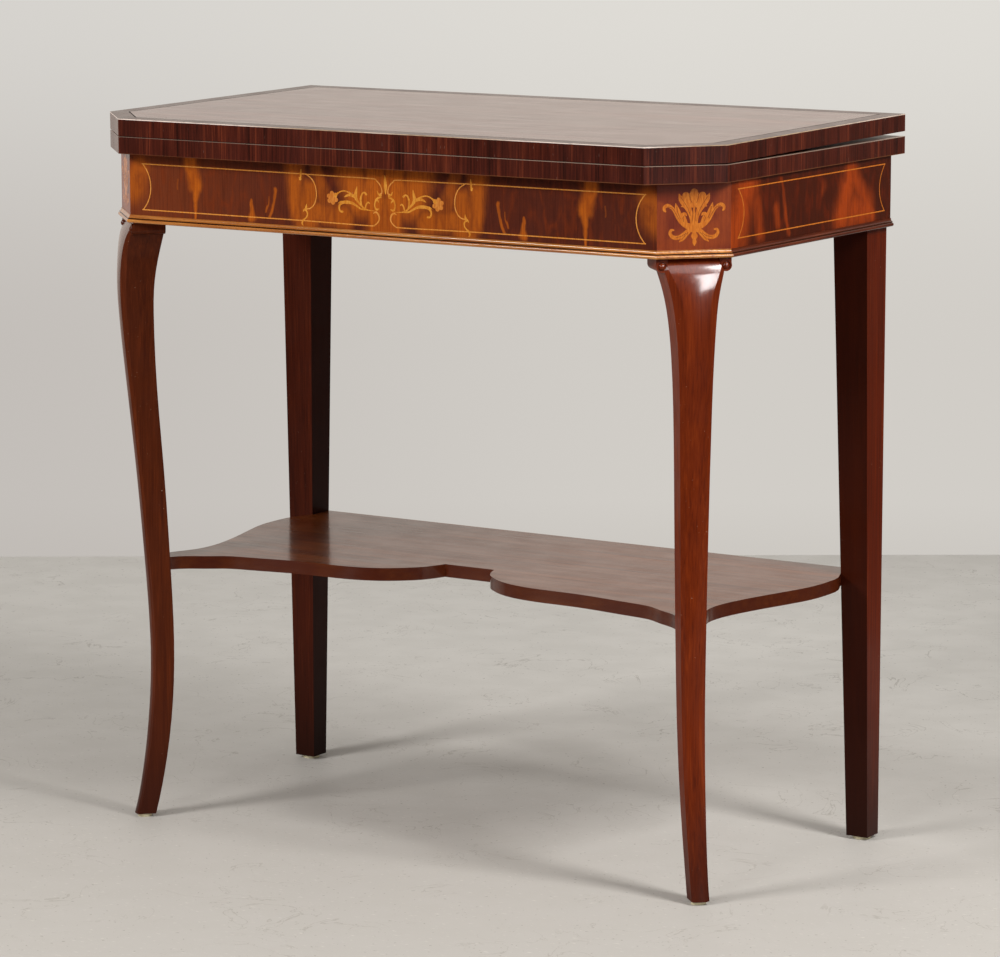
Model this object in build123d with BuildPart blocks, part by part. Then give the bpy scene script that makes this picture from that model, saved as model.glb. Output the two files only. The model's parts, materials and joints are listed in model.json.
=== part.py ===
from build123d import *
import os
from math import asin, cos, degrees, hypot, radians, sin, sqrt

os.makedirs("parts", exist_ok=True)

# Pier table with a fold-over top, in millimetres.
# It stands on z = 0, its front faces -Y, and the origin lies under the middle of the closed top.

# Folding top: two equal leaves with canted front corners
top_width = 751.7
top_depth = 433.5
leaf_thickness = 18.0
leaf_cant_x = 58.0
leaf_cant_y = 62.0
front_gap = 0.6
rear_gap = 5.2
lipping_width = 3.0
top_veneer = 0.9
border_width = 19.0
border_line = 1.4
lining_border = 46.0
lining_depth = 1.2
lining_clearance = 0.3

# Apron frame under the top
apron_height = 73.6
leaf_clearance = 0.3
side_overhang = 3.7
front_overhang = 21.7
rear_overhang = 23.2
apron_cant_x = 52.0
apron_cant_y = 53.7
apron_veneer = 0.9
rail_thickness = 22.0
tenon_thickness = 8.0
tenon_length = 9.0
tenon_shoulder = 11.0
joint_clearance = 0.1

# Bead moulding along the lower edge of the apron
moulding_height = 8.4
moulding_stand = 4.0
bead_radius = 2.0
quirk_height = 0.5
cap_stand = 2.7
cap_edge = 0.7
cap_top_stand = 0.8
cap_top_edge = 0.8

# Floor, legs and glides
leg_top = 651.5
glide_thickness = 3.6
rear_leg_width = 39.4
rear_leg_depth = 43.0
rear_foot_width = 24.9
rear_foot_depth = 24.4
rear_leg_side_step = 2.1
rear_leg_back_step = 2.4
rear_glide_radius = 9.5
front_glide_radius = 7.6
glide_nail_radius = 1.5
glide_nail_length = 16.0
glide_nail_head = 3.2
glide_nail_head_height = 1.2

# Front leg, set on the diagonal; steps are measured inwards from the cant's veneered face
ankle_step = 20.8
knee_swell = 31.1
knee_depth = 40.4
leg_head_width = 66.0
leg_side_shift = 0.7
leg_lean = 12.1
front_bow = 1.3
ear_spacing = 64.4
ear_radius = 5.9
ear_drop = 7.6
ear_front_step = 0.5
ear_length = 36.0
ear_eye_radius = 3.4
ear_eye_stand = 2.0
ear_ring_radius = 4.6
ear_ring_depth = 1.1
ear_block_step = 1.5

# Shelf between the legs
shelf_top = 287.0
shelf_thickness = 13.8
shelf_bulge = 12.2
shelf_notch_centre = -11.0
shelf_notch_half_width = 31.0
shelf_rear_step = 1.0
shelf_neck_width = 24.0
shelf_neck_scribe = 2.0
shelf_fit = 0.15
dowel_radius = 3.0
dowel_length = 24.0

# Swivel under the lower leaf
pivot_rail_width = 60.0
pivot_rail_thickness = 22.0
pivot_rail_housing = 6.0
pivot_bolt_radius = 4.0
pivot_head_radius = 11.0
pivot_head_height = 3.5
pivot_head_cover = 0.4
pivot_tail = 14.0
pivot_running = 0.05
pivot_bush_wall = 2.0
pivot_plate_radius = 30.0
pivot_plate_thickness = 2.5
pivot_plate_recess = 0.1
washer_radius = 11.0
washer_thickness = 1.6
washer_gap = 0.3
nut_radius = 7.5
nut_height = 6.5
stop_size = 38.0
stop_height = 18.0
stop_clearance = 0.3

# Well under the swivel top
well_board_thickness = 7.0
well_bearer = 11.0
well_board_clearance = 0.5

# Hinges between the leaves
hinge_spacing = 470.0
hinge_length = 50.0
hinge_plate_width = 26.0
hinge_plate_thickness = 1.5
hinge_axis_gap = 0.3
knuckle_radius = 2.3
knuckle_count = 5
knuckle_gap = 0.3
hinge_pin_radius = 1.1
hinge_running = 0.05

# Countersunk wood screws
screw_head_radius = 2.6
screw_head_height = 1.3
screw_radius = 1.3
screw_length = 11.0
screw_fit = 0.05
stop_screw_length = 26.0

overrun = 5.0

# Levels and places that follow from the sizes above
apron_top = leg_top + apron_height
leaf_underside = apron_top + leaf_clearance
hinge_reach = hinge_axis_gap + knuckle_radius
leaf_rear = top_depth / 2 - hinge_reach / 2
leaf_front = leaf_rear - top_depth
hinge_y = leaf_rear + hinge_axis_gap
hinge_z = leaf_underside + leaf_thickness + rear_gap / 2
leaf_tilt = asin((rear_gap - front_gap) / (top_depth + hinge_axis_gap))

apron_half_width = top_width / 2 - side_overhang
apron_front = leaf_front + front_overhang
apron_rear = leaf_rear - rear_overhang
apron_middle = (apron_front + apron_rear) / 2
core_side = apron_half_width - apron_veneer
core_front = apron_front + apron_veneer
veneer_bottom = leg_top + moulding_height

rear_leg_side = core_side - rear_leg_side_step
rear_leg_back = apron_rear - rear_leg_back_step
rear_post_x = rear_leg_side - rear_leg_width
rear_post_y = rear_leg_back - rear_leg_depth

# The opened top lies square over the frame, so the hinge line turns onto the frame's middle
pivot_x = (hinge_y - apron_middle) / 2
pivot_y = (hinge_y + apron_middle) / 2
pivot_rail_bottom = apron_top - pivot_rail_thickness

lower_leaf_plane = Plane(origin=(0, hinge_y, hinge_z))
upper_leaf_plane = Plane(
    origin=(0, hinge_y, hinge_z), x_dir=(1, 0, 0), z_dir=(0, -sin(leaf_tilt), cos(leaf_tilt))
)
half_gap = rear_gap / 2
leg_plane = Plane(origin=(0, 0, 0), x_dir=(1, 1, 0), z_dir=(0, 0, 1))
diagonal_plane = Plane(origin=(0, 0, 0), x_dir=(1, 1, 0), z_dir=(1, -1, 0))


def save(shape, name):
    """Label a finished piece and write it as its own file."""
    shape.label = name
    export_step(shape, f"parts/{name}.step")


def canted_outline(half_width, front, rear, cant_x, cant_y, inset, rear_inset):
    """Six corners of an outline with canted front corners, moved inwards by a distance."""
    run = hypot(cant_x, cant_y)
    normal_x = cant_y / run
    normal_y = cant_x / run
    side = half_width - inset
    cant_start = half_width - cant_x - inset * (1 - normal_y) / normal_x
    cant_end = front + cant_y + inset * (1 - normal_x) / normal_y
    return [
        (-side, rear - rear_inset),
        (-side, cant_end),
        (-cant_start, front + inset),
        (cant_start, front + inset),
        (side, cant_end),
        (side, rear - rear_inset),
    ]


def leaf_outline(inset):
    """Outline of a leaf, seen from its hinge line."""
    return canted_outline(
        top_width / 2, leaf_front - hinge_y, leaf_rear - hinge_y, leaf_cant_x, leaf_cant_y, inset, inset
    )


def apron_outline(inset):
    """Outline of the apron, moved inwards at the front, cants and sides."""
    return canted_outline(
        apron_half_width, apron_front, apron_rear, apron_cant_x, apron_cant_y, inset, 0
    )


def mitred_strips(plane, outer, inner, thickness):
    """Strips with mitred ends between two outlines, one solid along each edge."""
    strips = []
    for here in range(len(outer)):
        following = (here + 1) % len(outer)
        with BuildPart() as strip:
            with BuildSketch(plane):
                with BuildLine():
                    Polyline(outer[here], outer[following], inner[following], inner[here], close=True)
                make_face()
            extrude(amount=thickness)
        strips.append(strip.part)
    return Compound(children=strips)


def screw_body(length, head_radius, radius, head_height):
    """Countersunk screw, head up at the origin, as an outline to turn about Z."""
    with BuildPart() as screw:
        with BuildSketch(Plane.XZ):
            with BuildLine():
                Polyline(
                    (0, 0), (head_radius, 0), (radius, -head_height),
                    (radius, -length + 2 * radius), (0, -length), close=True,
                )
            make_face()
        revolve(axis=Axis.Z)
    return screw.part


def screw_group(places, length, grow=0.0):
    """The same screw at each place, as separate solids; grow widens it for its hole."""
    body = screw_body(length, screw_head_radius + grow, screw_radius + grow, screw_head_height)
    return Compound(children=[place * body for place in places])


# Screw places on the hinges, given from the hinge line: x, and the distance in from the line
hinge_screw_shares = [(-0.34, 0.62), (0.0, 0.4), (0.34, 0.62)]
hinge_screw_points = [
    (side * hinge_spacing / 2 + x_share * hinge_length, -y_share * hinge_plate_width - knuckle_radius)
    for side in (-1, 1)
    for x_share, y_share in hinge_screw_shares
]
plate_face = half_gap - hinge_plate_thickness
lower_screw_places = [
    lower_leaf_plane.location * Location((x, y, -plate_face)) for x, y in hinge_screw_points
]
upper_screw_places = [
    upper_leaf_plane.location * Location((x, y, plate_face), (180, 0, 0)) for x, y in hinge_screw_points
]
pivot_screw_ring = (pivot_plate_radius + pivot_bolt_radius) / 2 + screw_radius
pivot_screw_turns = (30, 150, 270)
pivot_screw_places = [
    Location((pivot_x, pivot_y, leaf_underside + pivot_plate_recess), (180, 0, 0))
    * Location((pivot_screw_ring * cos(angle), pivot_screw_ring * sin(angle), 0))
    for angle in (radians(turn) for turn in pivot_screw_turns)
]
stop_x = pivot_x - pivot_rail_width / 2 - stop_clearance - stop_size / 2
stop_y = pivot_y - pivot_rail_width / 2 - stop_clearance - stop_size / 2
stop_screw_places = [
    Location((stop_x + shift * stop_size / 4, stop_y, leaf_underside - stop_height), (180, 0, 0))
    for shift in (-1, 1)
]
upper_screw_holes = screw_group(upper_screw_places, screw_length, screw_fit)
lower_screw_holes = screw_group(lower_screw_places, screw_length, screw_fit)
pivot_screw_holes = screw_group(pivot_screw_places, screw_length, screw_fit)
stop_screw_holes = screw_group(stop_screw_places, stop_screw_length, screw_fit)

# Upper leaf board, with a recess for the playing surface on its under side
with BuildPart() as upper_leaf_board:
    with BuildSketch(upper_leaf_plane.offset(half_gap)):
        with BuildLine():
            Polyline(*leaf_outline(lipping_width), close=True)
        make_face()
    extrude(amount=leaf_thickness - top_veneer)
    with BuildSketch(upper_leaf_plane.offset(half_gap - overrun)):
        with BuildLine():
            Polyline(*leaf_outline(lining_border), close=True)
        make_face()
    extrude(amount=lining_depth + overrun, mode=Mode.SUBTRACT)
    add(upper_screw_holes, mode=Mode.SUBTRACT)
save(upper_leaf_board.part, "upper_leaf_board")

# Lower leaf board, with the matching recess on its upper side and the seat of the pivot
with BuildPart() as lower_leaf_board:
    with BuildSketch(Plane.XY.offset(leaf_underside)):
        with BuildLine():
            Polyline(*[(x, y + hinge_y) for x, y in leaf_outline(lipping_width)], close=True)
        make_face()
    extrude(amount=leaf_thickness)
    with BuildSketch(Plane.XY.offset(leaf_underside + leaf_thickness - lining_depth)):
        with BuildLine():
            Polyline(*[(x, y + hinge_y) for x, y in leaf_outline(lining_border)], close=True)
        make_face()
    extrude(amount=lining_depth + overrun, mode=Mode.SUBTRACT)
    with BuildSketch(Plane.XY.offset(leaf_underside - overrun)):
        with Locations((pivot_x, pivot_y)):
            Circle(pivot_plate_radius + joint_clearance)
    extrude(amount=pivot_plate_thickness + pivot_plate_recess + overrun, mode=Mode.SUBTRACT)
    with BuildSketch(Plane.XY.offset(leaf_underside)):
        with Locations((pivot_x, pivot_y)):
            Circle(pivot_bolt_radius + pivot_running)
    extrude(amount=leaf_thickness, mode=Mode.SUBTRACT)
    bolt_head_top = leaf_underside + leaf_thickness - lining_depth - pivot_head_cover
    with BuildSketch(Plane.XY.offset(bolt_head_top - pivot_head_height)):
        with Locations((pivot_x, pivot_y)):
            Circle(pivot_head_radius + joint_clearance)
    extrude(amount=leaf_thickness, mode=Mode.SUBTRACT)
    add(lower_screw_holes, mode=Mode.SUBTRACT)
    add(pivot_screw_holes, mode=Mode.SUBTRACT)
    add(stop_screw_holes, mode=Mode.SUBTRACT)
save(lower_leaf_board.part, "lower_leaf_board")

# Crossbanded edges of both leaves
upper_leaf_edging = mitred_strips(
    upper_leaf_plane.offset(half_gap), leaf_outline(0), leaf_outline(lipping_width),
    leaf_thickness - top_veneer,
)
save(upper_leaf_edging, "upper_leaf_edging")
lower_leaf_edging = mitred_strips(
    lower_leaf_plane.offset(-half_gap - leaf_thickness), leaf_outline(0), leaf_outline(lipping_width),
    leaf_thickness,
)
save(lower_leaf_edging, "lower_leaf_edging")

# Veneered top face: crossbanded border, dark line and field
top_face_plane = upper_leaf_plane.offset(half_gap + leaf_thickness - top_veneer)
top_border = mitred_strips(top_face_plane, leaf_outline(0), leaf_outline(border_width), top_veneer)
save(top_border, "top_border")
top_line = mitred_strips(
    top_face_plane, leaf_outline(border_width), leaf_outline(border_width + border_line), top_veneer
)
save(top_line, "top_line")
with BuildPart() as top_field:
    with BuildSketch(top_face_plane):
        with BuildLine():
            Polyline(*leaf_outline(border_width + border_line), close=True)
        make_face()
    extrude(amount=top_veneer)
save(top_field.part, "top_field")

# Playing-surface linings, laid in the recesses of both leaves
with BuildPart() as upper_lining:
    with BuildSketch(upper_leaf_plane.offset(half_gap)):
        with BuildLine():
            Polyline(*leaf_outline(lining_border + lining_clearance), close=True)
        make_face()
    extrude(amount=lining_depth)
save(upper_lining.part, "upper_lining")
with BuildPart() as lower_lining:
    with BuildSketch(lower_leaf_plane.offset(-half_gap - lining_depth)):
        with BuildLine():
            Polyline(*leaf_outline(lining_border + lining_clearance), close=True)
        make_face()
    extrude(amount=lining_depth)
save(lower_lining.part, "lower_lining")

# Hinges: a flap with its own knuckles on each leaf, and one pin for each hinge
knuckle_pitch = hinge_length / knuckle_count
knuckle_length = knuckle_pitch - knuckle_gap
flap_start = knuckle_radius + hinge_running + knuckle_gap


def hinge_flaps(plane, face_height, first_knuckle, holes):
    """Both flaps of one leaf, with every second knuckle from the first one."""
    flaps = []
    for side in (-1, 1):
        centre = side * hinge_spacing / 2
        with BuildPart() as flap:
            with BuildSketch(plane.offset(face_height)):
                with Locations((centre, -flap_start)):
                    Rectangle(hinge_length, hinge_plate_width - flap_start, align=(Align.CENTER, Align.MAX))
            extrude(amount=hinge_plate_thickness)
            for number in range(first_knuckle, knuckle_count, 2):
                start = centre - hinge_length / 2 + number * knuckle_pitch + knuckle_gap / 2
                with BuildSketch(plane.offset(face_height)):
                    with Locations((start, 0)):
                        Rectangle(knuckle_length, flap_start + overrun / 2, align=(Align.MIN, Align.MAX))
                extrude(amount=hinge_plate_thickness)
                barrel_plane = Plane(
                    plane.from_local_coords((start, 0, 0)), x_dir=plane.y_dir, z_dir=plane.x_dir
                )
                with BuildSketch(barrel_plane):
                    Circle(knuckle_radius)
                extrude(amount=knuckle_length)
                with BuildSketch(barrel_plane.offset(-knuckle_gap / 2)):
                    Circle(hinge_pin_radius + hinge_running)
                extrude(amount=knuckle_pitch, mode=Mode.SUBTRACT)
            add(holes, mode=Mode.SUBTRACT)
        flaps.append(flap.part)
    return Compound(children=flaps)


lower_hinge_flaps = hinge_flaps(lower_leaf_plane, -half_gap, 0, lower_screw_holes)
save(lower_hinge_flaps, "lower_hinge_flaps")
upper_hinge_flaps = hinge_flaps(upper_leaf_plane, plate_face, 1, upper_screw_holes)
save(upper_hinge_flaps, "upper_hinge_flaps")

pins = []
for side in (-1, 1):
    with BuildPart() as pin:
        with BuildSketch(Plane.YZ.offset(side * hinge_spacing / 2 - hinge_length / 2)):
            with Locations((hinge_y, hinge_z)):
                Circle(hinge_pin_radius)
        extrude(amount=hinge_length)
    pins.append(pin.part)
hinge_pins = Compound(children=pins)
save(hinge_pins, "hinge_pins")
save(screw_group(lower_screw_places, screw_length), "lower_hinge_screws")
save(screw_group(upper_screw_places, screw_length), "upper_hinge_screws")

# Front leg, right-hand one: rows are height, outward, depth, width and corner-bevel shares, foot first
leg_section_shares = [
    (0.0000, 0.621, 0.535, 0.279, 0.14),
    (0.0562, 0.373, 0.545, 0.288, 0.14),
    (0.1488, 0.122, 0.572, 0.321, 0.14),
    (0.2723, 0.000, 0.587, 0.360, 0.15),
    (0.4112, 0.138, 0.624, 0.395, 0.15),
    (0.5886, 0.434, 0.686, 0.438, 0.16),
    (0.7199, 0.704, 0.738, 0.476, 0.18),
    (0.8357, 0.936, 0.844, 0.536, 0.20),
    (0.8974, 1.000, 0.913, 0.615, 0.21),
    (0.9360, 0.965, 0.973, 0.706, 0.18),
    (0.9637, 0.887, 1.000, 0.823, 0.12),
    (1.0000, 0.489, 0.792, 1.000, 0.06),
]
bevel_depth_share = 0.62
root_half = sqrt(0.5)
mortise_height = apron_height - 2 * tenon_shoulder
veneer_outer = apron_outline(0)
core_corners = apron_outline(apron_veneer)
cant_middle_x = (veneer_outer[3][0] + veneer_outer[4][0]) / 2
cant_middle_y = (veneer_outer[3][1] + veneer_outer[4][1]) / 2
ankle_reach = (cant_middle_x - cant_middle_y) * root_half - ankle_step
ear_front_reach = ankle_reach + ankle_step - ear_front_step
leg_centre_top = (cant_middle_x + cant_middle_y) * root_half + leg_side_shift
post_start = core_corners[3]
post_end = core_corners[4]
tenon_back = rail_thickness - joint_clearance


def leg_section(share_row):
    """Height, outward place, depth, width, bevel and sideways centre of one leg section."""
    height_share, out_share, depth_share, width_share, bevel_share = share_row
    height = glide_thickness + height_share * (leg_top - glide_thickness)
    out = ankle_reach + out_share * knee_swell
    centre = leg_centre_top + leg_lean * (1 - height_share)
    width = width_share * leg_head_width
    return height, out, depth_share * knee_depth, width, bevel_share * width, centre


def ear_scroll(place):
    """One scroll ear, turned with a raised eye in a ring, and the block that joins it to the moulding."""
    with BuildPart() as ear:
        with BuildSketch(diagonal_plane.offset(ear_front_reach - ear_block_step)):
            with Locations(place):
                Rectangle(2 * ear_radius, ear_drop, align=(Align.CENTER, Align.MIN))
        extrude(amount=ear_block_step - ear_length)
        middle = diagonal_plane.from_local_coords((place[0], place[1], ear_front_reach))
        turning_plane = Plane(origin=middle, x_dir=(0, 0, 1), z_dir=(1, 1, 0))
        eye_rise = (ear_eye_stand + ear_ring_depth) * root_half - ear_ring_depth
        with BuildSketch(turning_plane):
            with BuildLine():
                Polyline(
                    (0, ear_eye_stand), (0, -ear_length), (ear_radius, -ear_length), (ear_radius, 0),
                    (ear_ring_radius, 0), (ear_ring_radius, -ear_ring_depth), (ear_eye_radius, -ear_ring_depth),
                )
                ThreePointArc(
                    (ear_eye_radius, -ear_ring_depth), (ear_eye_radius * root_half, eye_rise), (0, ear_eye_stand)
                )
            make_face()
        revolve(axis=Axis(middle, turning_plane.y_dir))
    return ear.part


def front_leg():
    """The right-hand front leg with its scroll ears and the post that carries the rails."""
    with BuildPart() as leg:
        for share_row in leg_section_shares:
            height, out, depth, width, bevel, centre = leg_section(share_row)
            left = centre - width / 2
            right = centre + width / 2
            shoulder = -out + bevel * bevel_depth_share + front_bow
            with BuildSketch(leg_plane.offset(height)):
                with BuildLine():
                    ThreePointArc(
                        (left + bevel, -out + front_bow), (centre, -out), (right - bevel, -out + front_bow)
                    )
                    Line((right - bevel, -out + front_bow), (right, shoulder))
                    Line((right, shoulder), (right, -out + depth))
                    Line((right, -out + depth), (left, -out + depth))
                    Line((left, -out + depth), (left, shoulder))
                    Line((left, shoulder), (left + bevel, -out + front_bow))
                make_face()
        loft()
        with BuildSketch(Plane.XY.offset(leg_top)):
            with BuildLine():
                Polyline(post_start, post_end, (post_start[0], post_end[1]), close=True)
            make_face()
        extrude(amount=apron_height)
        for side in (-1, 1):
            add(ear_scroll((leg_centre_top + side * ear_spacing / 2, leg_top - ear_drop)))
        with BuildSketch(Plane.XY.offset(leg_top + tenon_shoulder - joint_clearance)):
            with Locations((post_start[0], core_front + tenon_back + joint_clearance)):
                Rectangle(
                    2 * (tenon_length + joint_clearance), tenon_thickness + 2 * joint_clearance,
                    align=(Align.CENTER, Align.MAX),
                )
            with Locations((core_side - tenon_back - joint_clearance, post_end[1])):
                Rectangle(
                    tenon_thickness + 2 * joint_clearance, 2 * (tenon_length + joint_clearance),
                    align=(Align.MIN, Align.CENTER),
                )
        extrude(amount=mortise_height + 2 * joint_clearance, mode=Mode.SUBTRACT)
        with BuildSketch(leg_plane.offset(glide_thickness)):
            with Locations(front_foot_centre):
                Circle(glide_nail_radius + screw_fit)
        extrude(amount=glide_nail_length, mode=Mode.SUBTRACT)
        with BuildSketch(diagonal_plane.offset(neck_out - overrun)):
            with Locations((neck_centre, shelf_top - shelf_thickness / 2)):
                Circle(dowel_radius + screw_fit)
        extrude(amount=overrun + dowel_length / 2, mode=Mode.SUBTRACT)
    return leg.part


def leg_size_at(height):
    """Outward place of the leg's back face and its sideways centre at a height."""
    below = max(row for row in leg_section_shares if leg_section(row)[0] <= height)
    above = min(row for row in leg_section_shares if leg_section(row)[0] > height)
    low, high = leg_section(below), leg_section(above)
    share = (height - low[0]) / (high[0] - low[0])
    back_low, back_high = low[1] - low[2], high[1] - high[2]
    return back_low + share * (back_high - back_low), low[5] + share * (high[5] - low[5])


foot_out, foot_depth, foot_side = (leg_section(leg_section_shares[0])[index] for index in (1, 2, 5))
front_foot_centre = (foot_side, -foot_out + foot_depth / 2)
neck_out, neck_centre = leg_size_at(shelf_top - shelf_thickness / 2)

right_front_leg = front_leg()
save(right_front_leg, "right_front_leg")
left_front_leg = mirror(right_front_leg, about=Plane.YZ)
save(left_front_leg, "left_front_leg")


def rear_leg():
    """The right-hand rear leg: a square post in the frame and a leg tapered on its inner faces."""
    with BuildPart() as leg:
        with BuildSketch(Plane.XY.offset(leg_top)):
            with Locations((core_side, apron_rear)):
                Rectangle(core_side - rear_post_x, apron_rear - rear_post_y, align=(Align.MAX, Align.MAX))
        extrude(amount=apron_height)
        with BuildSketch(Plane.XY.offset(leg_top)):
            with Locations((rear_leg_side, rear_leg_back)):
                Rectangle(rear_leg_width, rear_leg_depth, align=(Align.MAX, Align.MAX))
        with BuildSketch(Plane.XY.offset(glide_thickness)):
            with Locations((rear_leg_side, rear_leg_back)):
                Rectangle(rear_foot_width, rear_foot_depth, align=(Align.MAX, Align.MAX))
        loft(ruled=True)
        with BuildSketch(Plane.XY.offset(leg_top + tenon_shoulder - joint_clearance)):
            with Locations((core_side - tenon_back - joint_clearance, rear_post_y)):
                Rectangle(
                    tenon_thickness + 2 * joint_clearance, 2 * (tenon_length + joint_clearance),
                    align=(Align.MIN, Align.CENTER),
                )
            with Locations((rear_post_x, apron_rear - tenon_back - joint_clearance)):
                Rectangle(
                    2 * (tenon_length + joint_clearance), tenon_thickness + 2 * joint_clearance,
                    align=(Align.CENTER, Align.MIN),
                )
        extrude(amount=mortise_height + 2 * joint_clearance, mode=Mode.SUBTRACT)
        with BuildSketch(Plane.XY.offset(glide_thickness)):
            with Locations(rear_foot_centre):
                Circle(glide_nail_radius + screw_fit)
        extrude(amount=glide_nail_length, mode=Mode.SUBTRACT)
        with BuildSketch(Plane.YZ.offset(shelf_end - overrun)):
            with Locations((rear_dowel_y, shelf_top - shelf_thickness / 2)):
                Circle(dowel_radius + screw_fit)
        extrude(amount=overrun + dowel_length / 2, mode=Mode.SUBTRACT)
    return leg.part


taper_share = (leg_top - shelf_top) / (leg_top - glide_thickness)
rear_leg_inner = rear_leg_side - rear_leg_width + taper_share * (rear_leg_width - rear_foot_width)
rear_leg_face = rear_leg_back - rear_leg_depth + taper_share * (rear_leg_depth - rear_foot_depth)
shelf_end = rear_leg_inner - shelf_fit
shelf_rear = rear_leg_back - shelf_rear_step
rear_dowel_y = (rear_leg_face + shelf_rear) / 2
rear_foot_centre = (rear_leg_side - rear_foot_width / 2, rear_leg_back - rear_foot_depth / 2)

right_rear_leg = rear_leg()
save(right_rear_leg, "right_rear_leg")
left_rear_leg = mirror(right_rear_leg, about=Plane.YZ)
save(left_rear_leg, "left_rear_leg")

# Front rail, between the two corner posts, with bare-faced tenons
with BuildPart() as front_rail:
    with BuildSketch(Plane.XY.offset(leg_top)):
        with Locations((0, core_front)):
            Rectangle(2 * post_start[0], rail_thickness, align=(Align.CENTER, Align.MIN))
    extrude(amount=apron_height)
    with BuildSketch(Plane.XY.offset(leg_top + tenon_shoulder)):
        with Locations((0, core_front + tenon_back)):
            Rectangle(
                2 * (post_start[0] + tenon_length), tenon_thickness, align=(Align.CENTER, Align.MAX)
            )
    extrude(amount=mortise_height)
save(front_rail.part, "front_rail")

# Back rail, between the rear posts
with BuildPart() as back_rail:
    with BuildSketch(Plane.XY.offset(leg_top)):
        with Locations((0, apron_rear)):
            Rectangle(2 * rear_post_x, rail_thickness, align=(Align.CENTER, Align.MAX))
    extrude(amount=apron_height)
    with BuildSketch(Plane.XY.offset(leg_top + tenon_shoulder)):
        with Locations((0, apron_rear - tenon_back)):
            Rectangle(2 * (rear_post_x + tenon_length), tenon_thickness, align=(Align.CENTER, Align.MIN))
    extrude(amount=mortise_height)
save(back_rail.part, "back_rail")

# Side rails, with a housing for the pivot rail
with BuildPart() as right_side_rail:
    side_rail_length = rear_post_y - post_end[1]
    with BuildSketch(Plane.XY.offset(leg_top)):
        with Locations((core_side, post_end[1])):
            Rectangle(rail_thickness, side_rail_length, align=(Align.MAX, Align.MIN))
    extrude(amount=apron_height)
    with BuildSketch(Plane.XY.offset(leg_top + tenon_shoulder)):
        with Locations((core_side - tenon_back, post_end[1] - tenon_length)):
            Rectangle(
                tenon_thickness, side_rail_length + 2 * tenon_length, align=(Align.MIN, Align.MIN)
            )
    extrude(amount=mortise_height)
    with BuildSketch(Plane.XY.offset(pivot_rail_bottom)):
        with Locations((core_side - rail_thickness, pivot_y)):
            Rectangle(2 * pivot_rail_housing, pivot_rail_width)
    extrude(amount=pivot_rail_thickness + overrun, mode=Mode.SUBTRACT)
save(right_side_rail.part, "right_side_rail")
left_side_rail = mirror(right_side_rail.part, about=Plane.YZ)
save(left_side_rail, "left_side_rail")

# Pivot rail across the frame, with the bush for the swivel bolt
pivot_bush_radius = pivot_bolt_radius + pivot_running + pivot_bush_wall
with BuildPart() as pivot_rail:
    with BuildSketch(Plane.XY.offset(pivot_rail_bottom)):
        with Locations((0, pivot_y)):
            Rectangle(
                2 * (core_side - rail_thickness + pivot_rail_housing - joint_clearance),
                pivot_rail_width - 2 * joint_clearance,
            )
        with Locations((pivot_x, pivot_y)):
            Circle(pivot_bush_radius + screw_fit, mode=Mode.SUBTRACT)
    extrude(amount=pivot_rail_thickness)
save(pivot_rail.part, "pivot_rail")

with BuildPart() as pivot_bush:
    with BuildSketch(Plane.XY.offset(pivot_rail_bottom)):
        with Locations((pivot_x, pivot_y)):
            Circle(pivot_bush_radius)
            Circle(pivot_bolt_radius + pivot_running, mode=Mode.SUBTRACT)
    extrude(amount=pivot_rail_thickness)
save(pivot_bush.part, "pivot_bush")

# Swivel bolt, let into the lower leaf under its lining, with plate, washer and nut
with BuildPart() as pivot_bolt:
    with BuildSketch(Plane.XY.offset(bolt_head_top - pivot_head_height)):
        with Locations((pivot_x, pivot_y)):
            Circle(pivot_head_radius)
    extrude(amount=pivot_head_height)
    bolt_bottom = pivot_rail_bottom - pivot_tail
    with BuildSketch(Plane.XY.offset(bolt_bottom)):
        with Locations((pivot_x, pivot_y)):
            Circle(pivot_bolt_radius)
    extrude(amount=bolt_head_top - bolt_bottom - pivot_head_height / 2)
save(pivot_bolt.part, "pivot_bolt")

with BuildPart() as pivot_plate:
    with BuildSketch(Plane.XY.offset(leaf_underside + pivot_plate_recess)):
        with Locations((pivot_x, pivot_y)):
            Circle(pivot_plate_radius)
            Circle(pivot_bolt_radius + pivot_running, mode=Mode.SUBTRACT)
    extrude(amount=pivot_plate_thickness)
    add(pivot_screw_holes, mode=Mode.SUBTRACT)
save(pivot_plate.part, "pivot_plate")
save(screw_group(pivot_screw_places, screw_length), "pivot_plate_screws")

washer_top = pivot_rail_bottom - washer_gap
with BuildPart() as pivot_washer:
    with BuildSketch(Plane.XY.offset(washer_top - washer_thickness)):
        with Locations((pivot_x, pivot_y)):
            Circle(washer_radius)
            Circle(pivot_bolt_radius + pivot_running, mode=Mode.SUBTRACT)
    extrude(amount=washer_thickness)
save(pivot_washer.part, "pivot_washer")

with BuildPart() as pivot_nut:
    with BuildSketch(Plane.XY.offset(washer_top - washer_thickness - nut_height)):
        with Locations((pivot_x, pivot_y)):
            RegularPolygon(nut_radius, 6)
            Circle(pivot_bolt_radius + pivot_running, mode=Mode.SUBTRACT)
    extrude(amount=nut_height)
save(pivot_nut.part, "pivot_nut")

# Stop block under the lower leaf: two of its faces meet the pivot rail, one at each end of the turn
with BuildPart() as swivel_stop:
    with BuildSketch(Plane.XY.offset(leaf_underside - stop_height)):
        with Locations((stop_x, stop_y)):
            Rectangle(stop_size, stop_size)
    extrude(amount=stop_height)
    add(stop_screw_holes, mode=Mode.SUBTRACT)
save(swivel_stop.part, "swivel_stop")
save(screw_group(stop_screw_places, stop_screw_length), "swivel_stop_screws")

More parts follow.
